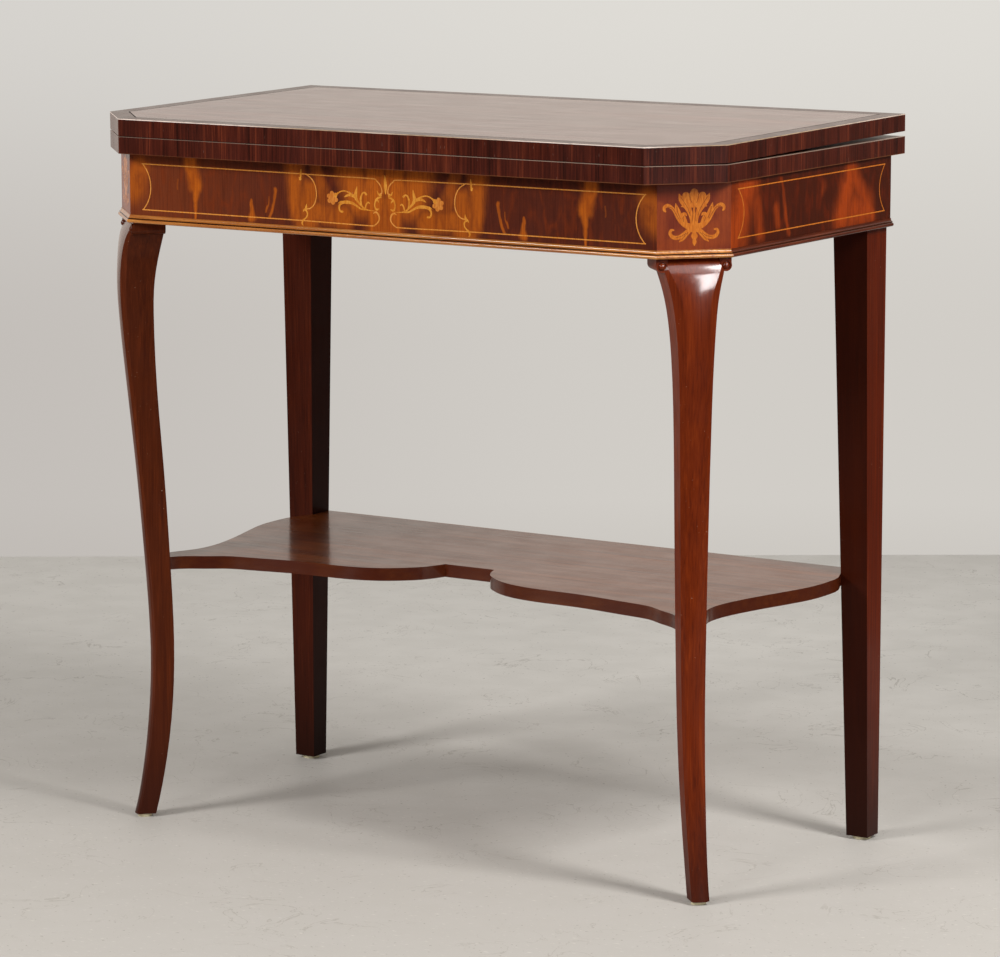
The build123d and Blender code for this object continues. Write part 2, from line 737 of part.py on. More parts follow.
# Well board and the bearers that carry it
rail_inner_side = core_side - rail_thickness
rail_inner_front = core_front + rail_thickness
rail_inner_rear = apron_rear - rail_thickness
well_depth = rail_inner_rear - rail_inner_front
with BuildPart() as well_board:
    with BuildSketch(Plane.XY.offset(leg_top + well_bearer)):
        with Locations((0, rail_inner_front + well_depth / 2)):
            Rectangle(
                2 * (rail_inner_side - well_board_clearance), well_depth - 2 * well_board_clearance
            )
        for side in (-1, 1):
            with Locations((side * core_side, post_end[1] + well_board_clearance)):
                Rectangle(
                    2 * (core_side - post_start[0] + well_board_clearance),
                    post_end[1] - rail_inner_front + 2 * well_board_clearance,
                    align=(Align.CENTER, Align.MAX), mode=Mode.SUBTRACT,
                )
            with Locations((side * core_side, apron_rear)):
                Rectangle(
                    2 * (core_side - rear_post_x + well_board_clearance),
                    2 * (apron_rear - rear_post_y + well_board_clearance),
                    mode=Mode.SUBTRACT,
                )
    extrude(amount=well_board_thickness)
save(well_board.part, "well_board")

bearers = []
bearer_places = [
    (0, rail_inner_front + well_bearer / 2, 2 * (post_start[0] - well_bearer), well_bearer),
    (0, rail_inner_rear - well_bearer / 2, 2 * (rear_post_x - well_bearer), well_bearer),
    (-rail_inner_side + well_bearer / 2, apron_middle, well_bearer, well_depth / 2),
    (rail_inner_side - well_bearer / 2, apron_middle, well_bearer, well_depth / 2),
]
for bearer_x, bearer_y, length_x, length_y in bearer_places:
    with BuildPart() as bearer:
        with BuildSketch(Plane.XY.offset(leg_top)):
            with Locations((bearer_x, bearer_y)):
                Rectangle(length_x, length_y)
        extrude(amount=well_bearer)
    bearers.append(bearer.part)
well_bearers = Compound(children=bearers)
save(well_bearers, "well_bearers")

# Veneers on the apron's front, cants and sides, mitred at the corners
veneer_names = {
    0: "left_side_veneer", 1: "left_cant_veneer", 2: "front_veneer",
    3: "right_cant_veneer", 4: "right_side_veneer",
}
for edge, veneer_name in veneer_names.items():
    with BuildPart() as veneer:
        with BuildSketch(Plane.XY.offset(veneer_bottom)):
            with BuildLine():
                Polyline(
                    veneer_outer[edge], veneer_outer[edge + 1],
                    core_corners[edge + 1], core_corners[edge], close=True,
                )
            make_face()
        extrude(amount=apron_top - veneer_bottom)
    save(veneer.part, veneer_name)


hollow_share = 0.45


def moulding_run(start, end, before, after):
    """One length of bead moulding along the core, mitred where its neighbours meet it."""
    length = hypot(end[0] - start[0], end[1] - start[1])
    along = Vector((end[0] - start[0]) / length, (end[1] - start[1]) / length, 0)
    outward = Vector(along.Y, -along.X, 0)
    face_plane = Plane(
        origin=Vector(end[0], end[1], leg_top) + along * (2 * moulding_stand),
        x_dir=outward, z_dir=-along,
    )
    stand = moulding_stand + apron_veneer
    bead_face = stand - bead_radius
    cap_face = apron_veneer + cap_stand
    cap_top_face = apron_veneer + cap_top_stand
    cap_bottom = 2 * bead_radius + quirk_height
    hollow_low = cap_bottom + cap_edge
    hollow_high = moulding_height - cap_top_edge
    with BuildPart() as run:
        with BuildSketch(face_plane):
            with BuildLine():
                Polyline(
                    (bead_face, 0), (0, 0), (0, moulding_height), (cap_top_face, moulding_height),
                    (cap_top_face, hollow_high),
                )
                ThreePointArc(
                    (cap_top_face, hollow_high),
                    (
                        (cap_top_face + hollow_share * cap_face) / (1 + hollow_share),
                        (hollow_high * hollow_share + hollow_low) / (1 + hollow_share),
                    ),
                    (cap_face, hollow_low),
                )
                Polyline(
                    (cap_face, hollow_low), (cap_face, cap_bottom), (bead_face, cap_bottom),
                    (bead_face, 2 * bead_radius),
                )
                ThreePointArc(
                    (bead_face, 2 * bead_radius), (stand, bead_radius), (bead_face, 0)
                )
            make_face()
        extrude(amount=length + 4 * moulding_stand)
        for corner, turn, keep_side in ((start, before, -1), (end, after, 1)):
            normal = (along + turn).normalized() if turn else along
            split(
                bisect_by=Plane(origin=(corner[0], corner[1], leg_top), z_dir=normal * keep_side),
                keep=Keep.BOTTOM,
            )
    return run.part


edge_directions = []
for edge in range(5):
    start, end = core_corners[edge], core_corners[edge + 1]
    length = hypot(end[0] - start[0], end[1] - start[1])
    edge_directions.append(Vector((end[0] - start[0]) / length, (end[1] - start[1]) / length, 0))
moulding_names = [
    "left_side_moulding", "left_cant_moulding", "front_moulding",
    "right_cant_moulding", "right_side_moulding",
]
for edge, moulding_name in enumerate(moulding_names):
    before = edge_directions[edge - 1] if edge > 0 else None
    after = edge_directions[edge + 1] if edge < 4 else None
    save(moulding_run(core_corners[edge], core_corners[edge + 1], before, after), moulding_name)

# Shelf: points as shares of the way from the notch to the neck (x) and from rear leg to neck (y)
notch_back_share = 0.589
front_edge_shares = [
    (0.017, 0.635), (0.041, 0.678), (0.088, 0.7245), (0.152, 0.768), (0.244, 0.801),
    (0.355, 0.814), (0.474, 0.817), (0.609, 0.834), (0.728, 0.854), (0.819, 0.874),
    (0.880, 0.910), (0.9475, 0.9465),
]
side_edge_shares = [
    (0.940, 0.897), (0.914, 0.824), (0.906, 0.768), (0.920, 0.612), (0.954, 0.4595),
    (0.977, 0.367), (0.997, 0.257), (1.000, 0.168), (0.994, 0.085), (0.971, 0.016),
]
shelf_half_width = shelf_end + shelf_bulge


def diagonal_point(out, sideways):
    """Plan place of a point given along and across the right-hand diagonal."""
    return ((out + sideways) * root_half, (sideways - out) * root_half)


neck_end = neck_out + shelf_neck_scribe
neck_front = diagonal_point(neck_end, neck_centre - shelf_neck_width / 2)
neck_back = diagonal_point(neck_end, neck_centre + shelf_neck_width / 2)
neck_reach = rear_leg_face - neck_front[1]
notch_back = rear_leg_face - notch_back_share * neck_reach


def shelf_half_edges(side):
    """Corner and through points of one half of the shelf, from the notch round to the rear leg."""
    notch_x = shelf_notch_centre + side * shelf_notch_half_width
    reach_x = side * neck_front[0] - notch_x
    sweep = [
        (notch_x + share_x * reach_x, rear_leg_face - share_y * neck_reach)
        for share_x, share_y in front_edge_shares
    ]
    flank = [
        (side * share_x * shelf_half_width, rear_leg_face - share_y * neck_reach)
        for share_x, share_y in side_edge_shares
    ]
    front_edge = [(notch_x, notch_back)] + sweep + [(side * neck_front[0], neck_front[1])]
    side_edge = [(side * neck_back[0], neck_back[1])] + flank + [
        (side * shelf_end, rear_leg_face - shelf_fit)
    ]
    return front_edge, side_edge


with BuildPart() as shelf:
    with BuildSketch(Plane.XY.offset(shelf_top - shelf_thickness)):
        with BuildLine():
            for side in (-1, 1):
                front_edge, side_edge = shelf_half_edges(side)
                Spline(*front_edge)
                Line(front_edge[-1], side_edge[0])
                Spline(*side_edge)
                Line(side_edge[-1], (side * shelf_end, shelf_rear))
            Line((-shelf_end, shelf_rear), (shelf_end, shelf_rear))
            Line(
                (shelf_notch_centre - shelf_notch_half_width, notch_back),
                (shelf_notch_centre + shelf_notch_half_width, notch_back),
            )
        make_face()
    extrude(amount=shelf_thickness)
    add([right_front_leg, left_front_leg], mode=Mode.SUBTRACT)
    for side in (-1, 1):
        neck_plane = Plane(origin=(0, 0, 0), x_dir=(1, side, 0), z_dir=(side, -1, 0))
        with BuildSketch(neck_plane.offset(neck_out + overrun)):
            with Locations((side * neck_centre, shelf_top - shelf_thickness / 2)):
                Circle(dowel_radius + screw_fit)
        extrude(amount=-overrun - dowel_length / 2, mode=Mode.SUBTRACT)
        with BuildSketch(Plane.YZ.offset(side * (shelf_end + overrun))):
            with Locations((rear_dowel_y, shelf_top - shelf_thickness / 2)):
                Circle(dowel_radius + screw_fit)
        extrude(amount=-side * (overrun + dowel_length / 2), mode=Mode.SUBTRACT)
save(shelf.part, "shelf")

# Dowels that carry the shelf in the four legs
dowels = []
dowel_half = dowel_length / 2 - screw_fit
for side in (-1, 1):
    neck_plane = Plane(origin=(0, 0, 0), x_dir=(1, side, 0), z_dir=(side, -1, 0))
    with BuildPart() as front_dowel:
        with BuildSketch(neck_plane.offset(neck_out - dowel_half)):
            with Locations((side * neck_centre, shelf_top - shelf_thickness / 2)):
                Circle(dowel_radius)
        extrude(amount=2 * dowel_half)
    with BuildPart() as rear_dowel:
        with BuildSketch(Plane.YZ.offset(side * shelf_end - dowel_half)):
            with Locations((rear_dowel_y, shelf_top - shelf_thickness / 2)):
                Circle(dowel_radius)
        extrude(amount=2 * dowel_half)
    dowels += [front_dowel.part, rear_dowel.part]
shelf_dowels = Compound(children=dowels)
save(shelf_dowels, "shelf_dowels")

# Glides under the feet, each held by a nail
foot_places = {
    "right_front_glide": (diagonal_point(-front_foot_centre[1], front_foot_centre[0]), front_glide_radius),
    "right_rear_glide": (rear_foot_centre, rear_glide_radius),
}
for side_name, mirror_sign in (("right", 1), ("left", -1)):
    for name, (centre, radius) in foot_places.items():
        with BuildPart() as glide:
            with BuildSketch(Plane.XY):
                with Locations((mirror_sign * centre[0], centre[1])):
                    Circle(radius)
                    Circle(glide_nail_head + screw_fit, mode=Mode.SUBTRACT)
            extrude(amount=glide_nail_head_height + screw_fit)
            with BuildSketch(Plane.XY.offset(glide_nail_head_height + screw_fit)):
                with Locations((mirror_sign * centre[0], centre[1])):
                    Circle(radius)
                    Circle(glide_nail_radius + screw_fit, mode=Mode.SUBTRACT)
            extrude(amount=glide_thickness - glide_nail_head_height - screw_fit)
        save(glide.part, name.replace("right", side_name))

nails = []
for mirror_sign in (-1, 1):
    for centre, radius in foot_places.values():
        with BuildPart() as nail:
            with BuildSketch(Plane.XY.offset(joint_clearance)):
                with Locations((mirror_sign * centre[0], centre[1])):
                    Circle(glide_nail_head)
            extrude(amount=glide_nail_head_height - joint_clearance)
            with BuildSketch(Plane.XY.offset(joint_clearance)):
                with Locations((mirror_sign * centre[0], centre[1])):
                    Circle(glide_nail_radius)
            extrude(amount=glide_nail_length)
        nails.append(nail.part)
glide_nails = Compound(children=nails)
save(glide_nails, "glide_nails")

print("leaf tilt", round(degrees(leaf_tilt), 4), "degrees")
print("hinge axis y, z", round(hinge_y, 3), round(hinge_z, 3))
print("pivot x, y", round(pivot_x, 3), round(pivot_y, 3))
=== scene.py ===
import json
import math
from functools import partial

import bmesh
import bpy
from mathutils import Matrix, Vector
from mathutils.geometry import interpolate_bezier


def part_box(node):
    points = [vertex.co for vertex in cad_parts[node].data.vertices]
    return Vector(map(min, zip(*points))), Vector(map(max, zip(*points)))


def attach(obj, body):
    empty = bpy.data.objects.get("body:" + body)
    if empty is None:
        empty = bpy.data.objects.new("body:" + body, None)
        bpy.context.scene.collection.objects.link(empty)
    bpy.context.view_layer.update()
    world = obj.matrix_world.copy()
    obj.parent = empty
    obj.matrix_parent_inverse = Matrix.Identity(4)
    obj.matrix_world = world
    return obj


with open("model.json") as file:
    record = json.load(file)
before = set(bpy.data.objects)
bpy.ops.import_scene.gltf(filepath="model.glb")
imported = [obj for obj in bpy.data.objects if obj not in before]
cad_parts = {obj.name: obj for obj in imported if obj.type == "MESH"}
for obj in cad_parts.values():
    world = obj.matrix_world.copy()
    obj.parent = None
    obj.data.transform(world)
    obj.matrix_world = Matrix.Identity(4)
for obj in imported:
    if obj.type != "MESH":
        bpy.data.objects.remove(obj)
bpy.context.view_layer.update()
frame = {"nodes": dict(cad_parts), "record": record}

# Looks of a pier table with a fold-over top, in metres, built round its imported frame.
# Sizes of patterns are in millimetres. So are the drawings of the inlay, where each point is how far
# it lies across a face, how far up from the veneer's lower edge, and the width of the strip there.

MM = 0.001
front_low, front_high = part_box("front_veneer")
side_low, side_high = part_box("right_side_veneer")
lower_low, lower_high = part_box("lower_leaf_edging")
border_low, border_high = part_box("top_border")
veneer_foot = front_low.z

# Camera, fitted to the photograph
camera_place = Vector((2.4971, -3.8950, 1.1451))
camera_yaw = 0.5744
camera_pitch = 0.1739
camera_roll = -0.0019
camera_lens = 159.6
camera_shift_x = 0.03
camera_shift_y = 0.0444

# Room
floor_aside = 1.35
floor_front = 1.0
wall_distance = 1.62

# Inlay
inlay_centre = 1.8 * MM
string_width = 1.15
inlay_depth = 0.3 * MM
inlay_rise = 0.03 * MM
inlay_step = 0.002 * MM
curve_steps = 7
cap_steps = 4
cap_least = 0.04

# Polish over wood
polish_ior = 1.5
wood_shine = 0.06
pore_depth = 0.02 * MM
# Painted shade in the groove over the bead of the moulding: its height, its reach either way and its
# colour
moulding_groove_shade = (veneer_foot - 4.0 * MM, 0.7 * MM, "#451e0b")
# Legs: width and length of the streaks, height of the grime, and how dull the polish is low down
leg_streak = 1.6
leg_streak_length = 110.0
grimy_height = 0.16
rear_leg_dulled = (0.35, 0.6, 0.15)
front_leg_dulled = (0.45, 0.6, 0.12)


def srgb(code):
    """Linear colour, with full alpha, of an sRGB hex value."""
    shares = [int(code[place:place + 2], 16) / 255 for place in (1, 3, 5)]
    return [v / 12.92 if v <= 0.04045 else ((v + 0.055) / 1.055) ** 2.4 for v in shares] + [1.0]


def add_node(tree, kind, inputs=None, output=0, **settings):
    """Add a shader node with its settings, give its inputs values or links, and return one output."""
    made = tree.nodes.new("ShaderNode" + kind)
    for name, value in settings.items():
        setattr(made, name, value)
    for name, value in (inputs or {}).items():
        if isinstance(value, bpy.types.NodeSocket):
            tree.links.new(value, made.inputs[name])
        else:
            made.inputs[name].default_value = srgb(value) if isinstance(value, str) else value
    return made.outputs[output]


def start_material(name):
    """A new material, its shader, the call that adds to its nodes, and the place on the object."""
    material = bpy.data.materials.new(name)
    material.use_nodes = True
    add = partial(add_node, material.node_tree)
    return material, material.node_tree.nodes["Principled BSDF"], add, add("TexCoord", output="Object")


def wire(shader, **sockets):
    """Link a shader's sockets, each named with _ for a space."""
    for name, source in sockets.items():
        shader.id_data.links.new(source, shader.inputs[name.replace("_", " ")])


def cloudy(add, place, size, low=None, high=None, least=0.0, most=1.0, detail=3.0,
           distortion=0.0, offset=0.0):
    """A random pattern of a size in millimetres, the same along all axes or one for each."""
    sizes = size if isinstance(size, tuple) else (size, size, size)
    spread = add("Mapping", {
        "Vector": place, "Location": (offset, offset, offset),
        "Scale": [1 / (value * MM) for value in sizes],
    })
    random = add("TexNoise", {
        "Vector": spread, "Scale": 1.0, "Detail": detail, "Distortion": distortion,
    })
    if low is None:
        return random
    return add("MapRange", {
        "Value": random, "From Min": low, "From Max": high, "To Min": least, "To Max": most,
    }, interpolation_type="SMOOTHSTEP")


def along_grain(grain, across, along):
    """Sizes of a pattern that is stretched along the grain."""
    return tuple(along if axis == grain else across for axis in "XYZ")


def wood_streaks(add, place, grain, streak, length, dark, mid, light, offset=0.0):
    """Colour of streaked wood: broad and fine streaks along the grain, and slow changes of tone."""
    broad = cloudy(
        add, place, along_grain(grain, streak * 5, length * 2), detail=2.0, distortion=0.6,
        offset=offset)
    fine = cloudy(
        add, place, along_grain(grain, streak, length), detail=6.0, distortion=0.3, offset=offset)
    tone = cloudy(
        add, place, along_grain(grain, streak * 20, length * 3), low=0.35, high=0.7, most=0.35,
        detail=1.0, offset=offset)
    streaks = add("Mix", {"Factor": 0.4, "A": fine, "B": broad})
    lower = add("MapRange", {
        "Value": streaks, "From Min": 0.33, "From Max": 0.52,
    }, interpolation_type="SMOOTHSTEP")
    upper = add("MapRange", {
        "Value": streaks, "From Min": 0.50, "From Max": 0.68,
    }, interpolation_type="SMOOTHSTEP")
    colour = add("Mix", {"Factor": lower, "A": dark, "B": mid}, "Result", data_type="RGBA")
    colour = add("Mix", {"Factor": upper, "A": colour, "B": light}, "Result", data_type="RGBA")
    return add("Mix", {"Factor": tone, "A": colour, "B": dark}, "Result", data_type="RGBA")


def add_pores(add, place, grain, colour, width=0.35, length=7.0, depth=0.35):
    """Fine dark pores along the grain, drawn about twice their real width so that they show."""
    pores = cloudy(
        add, place, along_grain(grain, width, length), low=0.62, high=0.72, most=depth, detail=1.0)
    return add("Mix", {"Factor": pores, "A": colour, "B": "#140604"}, "Result", data_type="RGBA"), pores


def polish(shader, add, place, colour, roughness, coat, coat_roughness, pores=None, wave=0.02):
    """A hand-rubbed polish: a clear coat that waves slightly, over pores that it half fills."""
    waves = cloudy(add, place, 14.0, detail=2.0)
    bump = add("Bump", {"Height": waves, "Strength": 1.0, "Distance": wave * MM})
    if pores is not None:
        bump = add("Bump", {
            "Height": pores, "Strength": 1.0, "Distance": pore_depth, "Normal": bump,
        }, invert=True)
    rough = cloudy(
        add, place, 40.0, low=0.3, high=0.75, least=roughness * 0.85, most=roughness * 1.2, detail=4.0)
    wire(shader, Base_Color=colour, Roughness=rough, Normal=bump, Coat_Normal=bump)
    shader.inputs["IOR"].default_value = polish_ior
    shader.inputs["Specular IOR Level"].default_value = wood_shine
    shader.inputs["Coat Weight"].default_value = coat
    shader.inputs["Coat Roughness"].default_value = coat_roughness
    shader.inputs["Coat IOR"].default_value = polish_ior


def add_nicks(add, place, colour, strength):
    """A few pale nicks, where the wood has been knocked."""
    knocks = cloudy(add, place, 1.6, low=0.76, high=0.8, most=strength, detail=1.0, offset=3.7)
    where = cloudy(add, place, 30.0, low=0.56, high=0.6, detail=1.0)
    chance = add("Math", {0: knocks, 1: where}, operation="MULTIPLY")
    return add("Mix", {"Factor": chance, "A": colour, "B": "#c9a58c"}, "Result", data_type="RGBA")


def polished_wood(name, grain, streak, length, dark, mid, light, roughness=0.4, coat=0.8,
                  coat_roughness=0.12, nicks=0.0, offset=0.0, sunk=None, upright_shade_tone=None, groove=None):
    """Solid or veneered wood under polish.

    On a wide top the polish has sunk along the grain. Upright faces of a board can carry painted
    shade in patches, and the groove over the bead of a moulding a band of painted shade.
    """
    material, shader, add, place = start_material(name)
    colour = wood_streaks(add, place, grain, streak, length, dark, mid, light, offset=offset)
    colour, pores = add_pores(add, place, grain, colour)
    if nicks:
        colour = add_nicks(add, place, colour, nicks)
    # Painted shade: upright faces painted darker, in patches
    if upright_shade_tone:
        level = add("SeparateXYZ", {0: add("NewGeometry", output="Normal")}, "Z")
        upright = add("MapRange", {
            "Value": add("Math", {0: level}, operation="ABSOLUTE"), "From Min": 0.6, "From Max": 0.3,
        })
        shade_patches = cloudy(add, place, 70.0, low=0.35, high=0.65, least=0.6, most=0.9)
        share = add("Math", {0: upright, 1: shade_patches}, operation="MULTIPLY")
        colour = add("Mix", {"Factor": share, "A": colour, "B": upright_shade_tone}, "Result", data_type="RGBA")
    # Painted shade: a dark band in the groove over the bead
    if groove:
        middle, reach, tone = groove
        height = add("SeparateXYZ", {0: place}, "Z")
        inside = add("Math", {0: height, 1: middle, 2: reach}, operation="COMPARE")
        colour = add("Mix", {"Factor": inside, "A": colour, "B": tone}, "Result", data_type="RGBA")
    polish(
        shader, add, place, colour, roughness=roughness, coat=coat, coat_roughness=coat_roughness,
        pores=pores)
    if sunk:
        sinks = cloudy(
            add, place, along_grain(grain, 5.0, 90.0), low=0.3, high=0.7, least=coat * sunk, most=coat,
            detail=5.0)
        wire(shader, Coat_Weight=sinks)
    return material


def polished_leg(name, dark, mid, light, coat, coat_roughness, nicks, dulled, foot, inward=None):
    """Solid wood of a leg under polish, with a grimy foot and perhaps painted shade on the faces turned
    to the middle.

    The polish is dull on the inside and low down: dulled gives the height where it is dullest, the
    height from which it is clear, and the share that is left of it below.
    """
    material, shader, add, place = start_material(name)
    height = add("SeparateXYZ", {0: place}, "Z")
    turned = add("VectorMath", {
        0: add("NewGeometry", output="Normal"), 1: place,
    }, "Value", operation="DOT_PRODUCT")
    colour = wood_streaks(add, place, "Z", leg_streak, leg_streak_length, dark, mid, light)
    colour, pores = add_pores(add, place, "Z", colour, depth=0.2)
    colour = add_nicks(add, place, colour, nicks)
    # Painted shade: faces turned towards the middle of the table are painted darker
    if inward:
        level, tone = inward
        share = add("MapRange", {
            "Value": turned, "From Min": level + 0.03, "From Max": level - 0.03, "To Max": 0.85,
        })
        colour = add("Mix", {"Factor": share, "A": colour, "B": tone}, "Result", data_type="RGBA")
    grimy = add("MapRange", {"Value": height, "From Min": grimy_height, "From Max": 0.0, "To Max": 0.8})
    colour = add("Mix", {"Factor": grimy, "A": colour, "B": foot}, "Result", data_type="RGBA")
    polish(
        shader, add, place, colour, roughness=0.4, coat=coat, coat_roughness=coat_roughness,
        pores=pores)
    dullest, clear, least = dulled
    raised = add("MapRange", {
        "Value": height, "From Min": dullest, "From Max": clear, "To Min": least, "To Max": coat,
    })
    outer = add("MapRange", {"Value": turned, "From Min": -0.02, "From Max": 0.1, "To Min": 0.08})
    wire(shader, Coat_Weight=add("Math", {0: raised, 1: outer}, operation="MULTIPLY"))
    return material


def streak_mask(add, across, up, start, end, start_width, end_width, softness):
    """How far a point lies inside a tapering streak between two points of a face, in millimetres."""
    run, climb = end[0] - start[0], end[1] - start[1]
    reach = run * run + climb * climb
    point = add("CombineXYZ", {"X": across, "Y": up})
    offset = add("VectorMath", {0: point, 1: (start[0], start[1], 0)}, operation="SUBTRACT")
    along = add("VectorMath", {
        0: offset, 1: (run / reach, climb / reach, 0),
    }, "Value", operation="DOT_PRODUCT")
    share = add("Clamp", {"Value": along})
    nearest = add("VectorMath", {0: (run, climb, 0), "Scale": share}, operation="SCALE")
    distance = add("VectorMath", {0: offset, 1: nearest}, "Value", operation="DISTANCE")
    width = add("Math", {
        0: share, 1: end_width - start_width, 2: start_width,
    }, operation="MULTIPLY_ADD")
    reached = add("Math", {0: distance, 1: width}, operation="DIVIDE")
    return add("MapRange", {
        "Value": reached, "From Min": 1 + softness, "From Max": 1 - softness,
    }, interpolation_type="SMOOTHSTEP")


def figured_veneer(name, axis, centre, matched, streaks, base, fire, red, fibre_share=0.3,
                   softness=0.45, faded=None):
    """Figured veneer: dark ground with fiery streaks, mirrored about its middle where it is matched."""
    material, shader, add, place = start_material(name)
    shifted = add("Math", {0: add("SeparateXYZ", {0: place}, axis), 1: centre}, operation="SUBTRACT")
    if matched:
        shifted = add("Math", {0: shifted}, operation="ABSOLUTE")
    raised = add("Math", {0: add("SeparateXYZ", {0: place}, "Z"), 1: veneer_foot}, operation="SUBTRACT")
    folded = add("CombineXYZ", {"X": shifted, "Z": raised})
    across = add("Math", {0: shifted, 1: MM}, operation="DIVIDE")
    up = add("Math", {0: raised, 1: MM}, operation="DIVIDE")
    sway = cloudy(add, folded, (14.0, 14.0, 30.0))
    swayed = add("Math", {0: sway, 1: 12.0, 2: -6.0}, operation="MULTIPLY_ADD")
    swayed = add("Math", {0: swayed, 1: across}, operation="ADD")
    glow = 0.0
    for start, end, start_width, end_width, strength in streaks:
        mask = streak_mask(add, swayed, up, start, end, start_width, end_width, softness)
        mask = add("Math", {0: mask, 1: strength}, operation="MULTIPLY")
        glow = add("Math", {0: mask, 1: glow}, operation="MAXIMUM")
    fibres = cloudy(add, folded, (1.6, 1.6, 50.0), low=0.42, high=0.7, detail=5.0, distortion=0.4)
    broken = cloudy(
        add, folded, (11.0, 11.0, 34.0), low=0.42, high=0.75, most=0.55, distortion=1.2, offset=2.0)
    gaps = cloudy(
        add, folded, (11.0, 11.0, 34.0), low=0.3, high=0.55, least=0.45, most=0.0, distortion=1.2,
        offset=2.0)
    dark_fibres = add("Math", {0: fibres, 1: fibre_share}, operation="MULTIPLY")
    red_fibres = add("Math", {0: fibres, 1: 0.45}, operation="MULTIPLY")
    if faded:
        start, end, tone = faded
        share = add("MapRange", {
            "Value": add("SeparateXYZ", {0: place}, axis), "From Min": start, "From Max": end,
        })
        base = add("Mix", {"Factor": share, "A": base, "B": tone}, "Result", data_type="RGBA")
    ground = add("Mix", {"Factor": broken, "A": base, "B": red}, "Result", data_type="RGBA")
    ground = add("Mix", {
        "Factor": dark_fibres, "A": ground, "B": "#2c0d08",
    }, "Result", data_type="RGBA")
    warm = add("Mix", {"Factor": red_fibres, "A": fire, "B": red}, "Result", data_type="RGBA")
    warm = add("Mix", {"Factor": gaps, "A": warm, "B": red}, "Result", data_type="RGBA")
    colour = add("Mix", {"Factor": glow, "A": ground, "B": warm}, "Result", data_type="RGBA")
    colour, pores = add_pores(add, folded, "Z", colour, length=5.0, depth=0.25)
    polish(
        shader, add, place, colour, roughness=0.42, coat=0.55, coat_roughness=0.16, pores=pores,
        wave=0.015)
    return material


# Right rear leg: mahogany, planed and French polished; straight streaks, dark red-brown, dull low
# down, and painted shade on the faces turned to the middle
leg_mahogany = polished_leg(
    "french_polished_mahogany", "#461404", "#5c1b04", "#702706", coat=0.7, coat_roughness=0.14,
    nicks=0.6, dulled=rear_leg_dulled, foot="#1e0c07", inward=(-0.1, "#2e0f06"))
# Left rear leg: the same wood, painted darker as painted shade
shaded_mahogany = polished_leg(
    "french_polished_dark_mahogany", "#36130a", "#461a0d", "#562311", coat=0.6, coat_roughness=0.16,
    nicks=0.6, dulled=rear_leg_dulled, foot="#1e0c07", inward=(-0.26, "#2e120a"))
# Right front leg: the same wood cut on the diagonal, painted a shade lighter as painted light; the knee
# keeps a clear gloss
knee_mahogany = polished_leg(
    "french_polished_knee_mahogany", "#5a1d07", "#702708", "#86340e", coat=1.0, coat_roughness=0.14,
    nicks=0.8, dulled=front_leg_dulled, foot="#351710")
# Left front leg: cut in the same way, painted darker as painted shade
shaded_knee_mahogany = polished_leg(
    "french_polished_dark_knee_mahogany", "#491c0c", "#57240e", "#682c12", coat=1.0,
    coat_roughness=0.14, nicks=0.8, dulled=front_leg_dulled, foot="#351710")
# Shelf: wide mahogany board, polished; the grain runs along it and the top mirrors the room softly;
# its upright faces carry painted shade
shelf_mahogany = polished_wood(
    "polished_mahogany_board", "X", streak=5.0, length=190.0, dark="#4a1d0a", mid="#65310f",
    light="#7c4118", roughness=0.42, coat=0.75, coat_roughness=0.14, nicks=0.5, offset=5.0, sunk=0.8,
    upright_shade_tone="#48190b")
# Moulding: mahogany stuck to a bead, polished; painted lighter than the legs as a painted sheen
moulding_mahogany = polished_wood(
    "bead_mahogany_painted_sheen", "X", streak=2.0, length=60.0, dark="#96501e", mid="#bc7836",
    light="#d8964c", roughness=0.3, coat=1.0, coat_roughness=0.15, offset=9.0, groove=moulding_groove_shade)
# Moulding of the sides: the same wood, painted darker as painted shade
shaded_side_moulding = polished_wood(
    "bead_mahogany_painted_shade", "Y", streak=2.0, length=60.0, dark="#3f1608", mid="#5f2610",
    light="#7c3a18", coat_roughness=0.2, offset=9.0, groove=moulding_groove_shade)
# Secondary wood inside: beech, sawn and left bare; pale, dull and close-grained
bare_beech = polished_wood(
    "sawn_beech", "X", streak=2.5, length=70.0, dark="#8d6238", mid="#a87b4a", light="#bd9260",
    roughness=0.75, coat=0.0, coat_roughness=0.5, offset=1.0)
# Boards of the leaves: mahogany, planed, stained and wiped with polish; a soft brown with a low gloss
stained_boards = polished_wood(
    "stained_mahogany_boards", "X", streak=3.0, length=160.0, dark="#4a2412", mid="#643619",
    light="#7e4a26", roughness=0.5, coat=0.45, coat_roughness=0.22, offset=2.0)
# Field of the top: rosewood veneer, laid along and polished; purple-brown with long dark streaks
field_rosewood = polished_wood(
    "polished_rosewood_field", "X", streak=4.0, length=220.0, dark="#421710", mid="#5f241a",
    light="#7a3628", coat=1.0, offset=4.0, sunk=0.88)
# Line between field and border: dyed boxwood, laid in flush; nearly black
line_ebonised = polished_wood(
    "ebonised_string", "X", streak=1.0, length=30.0, dark="#0d0706", mid="#160b09", light="#20100c",
    roughness=0.8, coat=0.0, coat_roughness=0.3)
# Lines cut into the inlay with a graver and rubbed with dark wax; a warm brown hairline
engraved = polished_wood(
    "engraved_line", "X", streak=1.0, length=5.0, dark="#5a230c", mid="#6b2c10", light="#7a3614",
    roughness=0.5, coat=0.5, coat_roughness=0.2)


